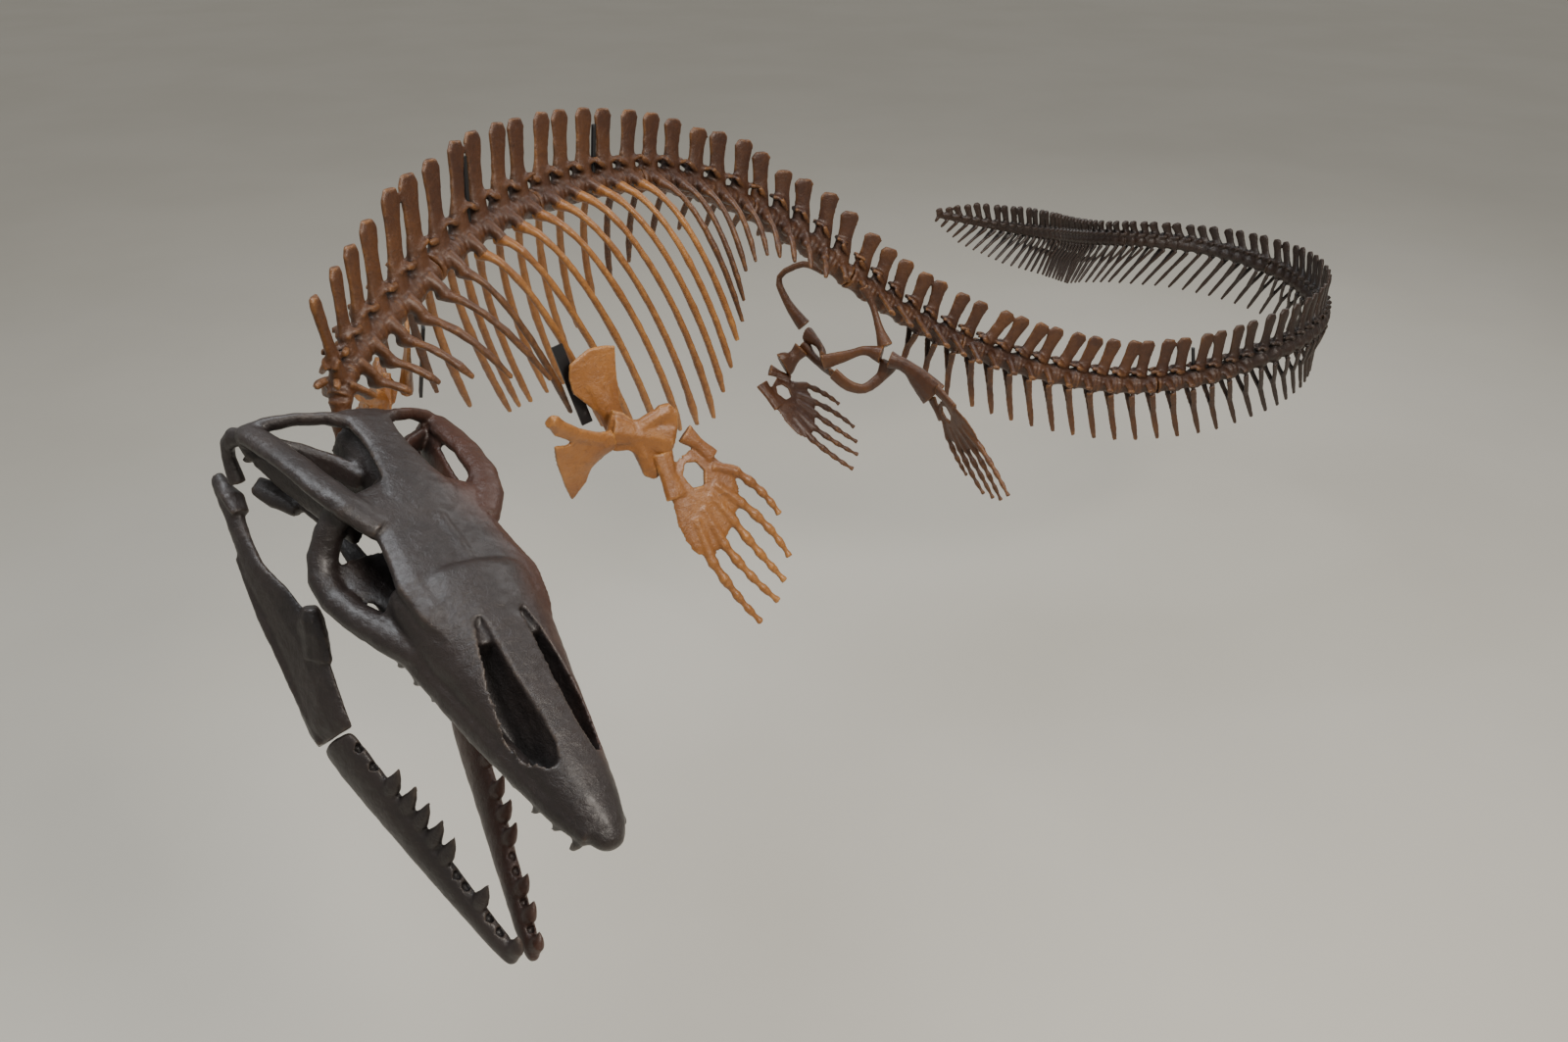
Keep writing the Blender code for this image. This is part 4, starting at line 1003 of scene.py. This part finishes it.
# %% Paddles
PALM = (
    (0.006, 0.022), (0.04, 0.04), (0.108, 0.062), (0.158, 0.03), (0.182, -0.026), (0.207, -0.09),
    (0.165, -0.112), (0.102, -0.1), (0.055, -0.074), (0.006, -0.042),
)
WRIST_HOLE = (
    (0.03, -0.012), (0.042, 0.004), (0.062, 0.006), (0.082, -0.01), (0.072, -0.03), (0.044, -0.03),
)
DIGITS = (
    ((0.098, 0.05), (0.16, 0.074), (0.216, 0.068)),
    ((0.145, 0.022), (0.22, 0.044), (0.287, 0.034)),
    ((0.16, -0.008), (0.243, -0.008), (0.314, -0.001)),
    ((0.178, -0.048), (0.263, -0.05), (0.333, -0.034)),
    ((0.19, -0.084), (0.272, -0.092), (0.339, -0.084)),
)


def finger_point(digit, u):
    """Where a finger's curve is, from its root at 0 to its tip at 1."""
    return [(1 - u) ** 2 * start + 2 * u * (1 - u) * bend + u ** 2 * tip for start, bend, tip in zip(*digit)]


FOREARMS = (
    ((-0.01, 0.02, 0.02, 0.009), (0.02, 0.028, 0.012, 0.008), (0.055, 0.034, 0.016, 0.008)),
    ((-0.01, -0.034, 0.022, 0.009), (0.026, -0.05, 0.016, 0.008), (0.066, -0.062, 0.022, 0.008)),
)
HOURGLASS = ((0.02, 1.1), (0.14, 1.18), (0.38, 0.8), (0.62, 0.8), (0.86, 1.12), (0.98, 1.02))
JOINTS = (0.0, 0.3, 0.54, 0.76, 1.0)


def paddle(name, origin, along, across, size, paint):
    over = along.cross(across).normalized()
    palm = bmesh.new()
    slab(palm, origin, along, across, [(a * size, b * size) for a, b in PALM], 0.0062 * size)
    hole = bmesh.new()
    slab(hole, origin, along, across, [(a * size, b * size) for a, b in WRIST_HOLE], 0.03)
    clay = carve(palm, [hole], 1)

    def spot(a, b):
        return origin + (along * a + across * b) * size

    for forearm in FOREARMS:
        line = [spot(a, b) for a, b, _, _ in forearm]
        limb(clay, line, [(w * size, h * size) for _, _, w, h in forearm], over)
    for digit in DIGITS:
        root = finger_point(digit, 0.0)
        inner = (root[0] * 0.55 + 0.012, root[1] * 0.62 - 0.008)
        middle = [(a + b) / 2 for a, b in zip(inner, root)]
        limb(clay, [spot(*inner), spot(*middle), spot(*root)],
             [(0.011 * size, 0.0075 * size), (0.0095 * size, 0.008 * size),
              (0.0105 * size, 0.0085 * size)], over)
        for first, last in zip(JOINTS, JOINTS[1:]):
            line = [spot(*finger_point(digit, first + (last - first) * v)) for v, _ in HOURGLASS]
            girth = 0.009 * (1.12 - 0.46 * (first + last) / 2) * size
            limb(clay, line, [(girth * w, girth * w * 0.82) for _, w in HOURGLASS], over, 10)
    fuse(name, clay, paint, grain=0.0024, rounding=2, unevenness=0.0012)


for side, word in SIDES:
    along = chest_way(side, 0.59, -0.805, 0.04)
    across = squared(chest_way(side, 0.422, 0.354, 0.833), along)
    paddle(f"fore_paddle_{word}", chest(side, 0.313, -0.362, 0.036), along, across, 1.0, golden)

# %% [markdown]
# The hips are thin rods that meet round the socket of the thigh: one up to the spine, one forward and one
# curved below. The mount holds the two sides a little apart, so each side has its own points.

# %% Hips and hind paddles
HIPS = {
    "left": {
        "ilium": ((0.516, 0.254, -0.398), (0.534, 0.25, -0.432), (0.548, 0.234, -0.475), (0.56, 0.216,
            -0.507)),
        "pubis": ((0.548, 0.206, -0.527), (0.518, 0.216, -0.523), (0.478, 0.222, -0.538), (0.433, 0.22,
            -0.551)),
        "ischium": ((0.57, 0.21, -0.555), (0.554, 0.206, -0.581), (0.519, 0.198, -0.605), (0.484, 0.202,
            -0.599), (0.456, 0.216, -0.581)),
        "femur": ((0.576, 0.18, -0.531), (0.612, 0.168, -0.545), (0.661, 0.144, -0.591)),
        "paddle": ((0.668, 0.138, -0.6), (0.46, -0.61, -0.65), (-0.16, 0.62, -0.69), 0.8),
    },
    "right": {
        "ilium": ((0.43, 0.439, -0.417), (0.387, 0.476, -0.415), (0.332, 0.49, -0.451), (0.35, 0.463, -0.501),
            (0.386, 0.44, -0.546)),
        "pubis": ((0.402, 0.423, -0.571), (0.421, 0.398, -0.578), (0.431, 0.369, -0.586), (0.433, 0.346,
            -0.592)),
        "ischium": ((0.392, 0.429, -0.601), (0.411, 0.409, -0.617), (0.438, 0.375, -0.63), (0.454, 0.34,
            -0.63)),
        "femur": ((0.38, 0.413, -0.604), (0.364, 0.406, -0.619), (0.346, 0.397, -0.63)),
        "paddle": ((0.309, 0.379, -0.655), (0.79, -0.08, -0.6), (0.26, 0.8, 0.5), 0.84),
    },
}
ROD_HALVES = {
    "ilium": ((0.011, 0.01), (0.008, 0.0075), (0.0075, 0.007), (0.0105, 0.009), (0.019, 0.014)),
    "pubis": ((0.023, 0.017), (0.013, 0.009), (0.0105, 0.008), (0.016, 0.008), (0.021, 0.008)),
    "ischium": ((0.022, 0.016), (0.013, 0.009), (0.013, 0.008), (0.016, 0.008), (0.017, 0.007)),
    "femur": ((0.022, 0.017), (0.016, 0.012), (0.018, 0.012), (0.03, 0.013), (0.036, 0.014)),
}
HIP_OVERHANG = 0.007


def smooth_line(points, steps):
    """Points on a soft curve through the given ones."""
    line = []
    last = len(points) - 1
    for k in range(last):
        before, start, end, after = points[max(k - 1, 0)], points[k], points[k + 1], points[min(k + 2, last)]
        for j in range(steps):
            u = j / steps
            bend = (2 * before - 5 * start + 4 * end - after) * u * u
            twist = (3 * start - before - 3 * end + after) * u ** 3
            line.append(0.5 * ((2 * start) + (end - before) * u + bend + twist))
    return line + [points[-1]]


def halves_along(halves, count):
    out = []
    for k in range(count):
        at = k / (count - 1) * (len(halves) - 1)
        low = min(int(at), len(halves) - 2)
        out.append(tuple(a + (b - a) * (at - low) for a, b in zip(halves[low], halves[low + 1])))
    return out


for _, word in SIDES:
    for bone in ("ilium", "pubis", "ischium", "femur"):
        line = smooth_line([Vector(p) for p in HIPS[word][bone]], 3)
        line[0] += (line[0] - line[1]).normalized() * HIP_OVERHANG
        line[-1] += (line[-1] - line[-2]).normalized() * HIP_OVERHANG
        clay = bmesh.new()
        limb(clay, line, halves_along(ROD_HALVES[bone], len(line)), Vector((0.2, 0.9, 0.3)), 10)
        fuse(f"{bone}_{word}", clay, brown, grain=0.0024)
    origin, along, across, size = HIPS[word]["paddle"]
    along = Vector(along).normalized()
    across = squared(Vector(across), along)
    paddle(f"hind_paddle_{word}", Vector(origin), along, across, size, brown)

# %% [markdown]

# %% The end
print("the end")
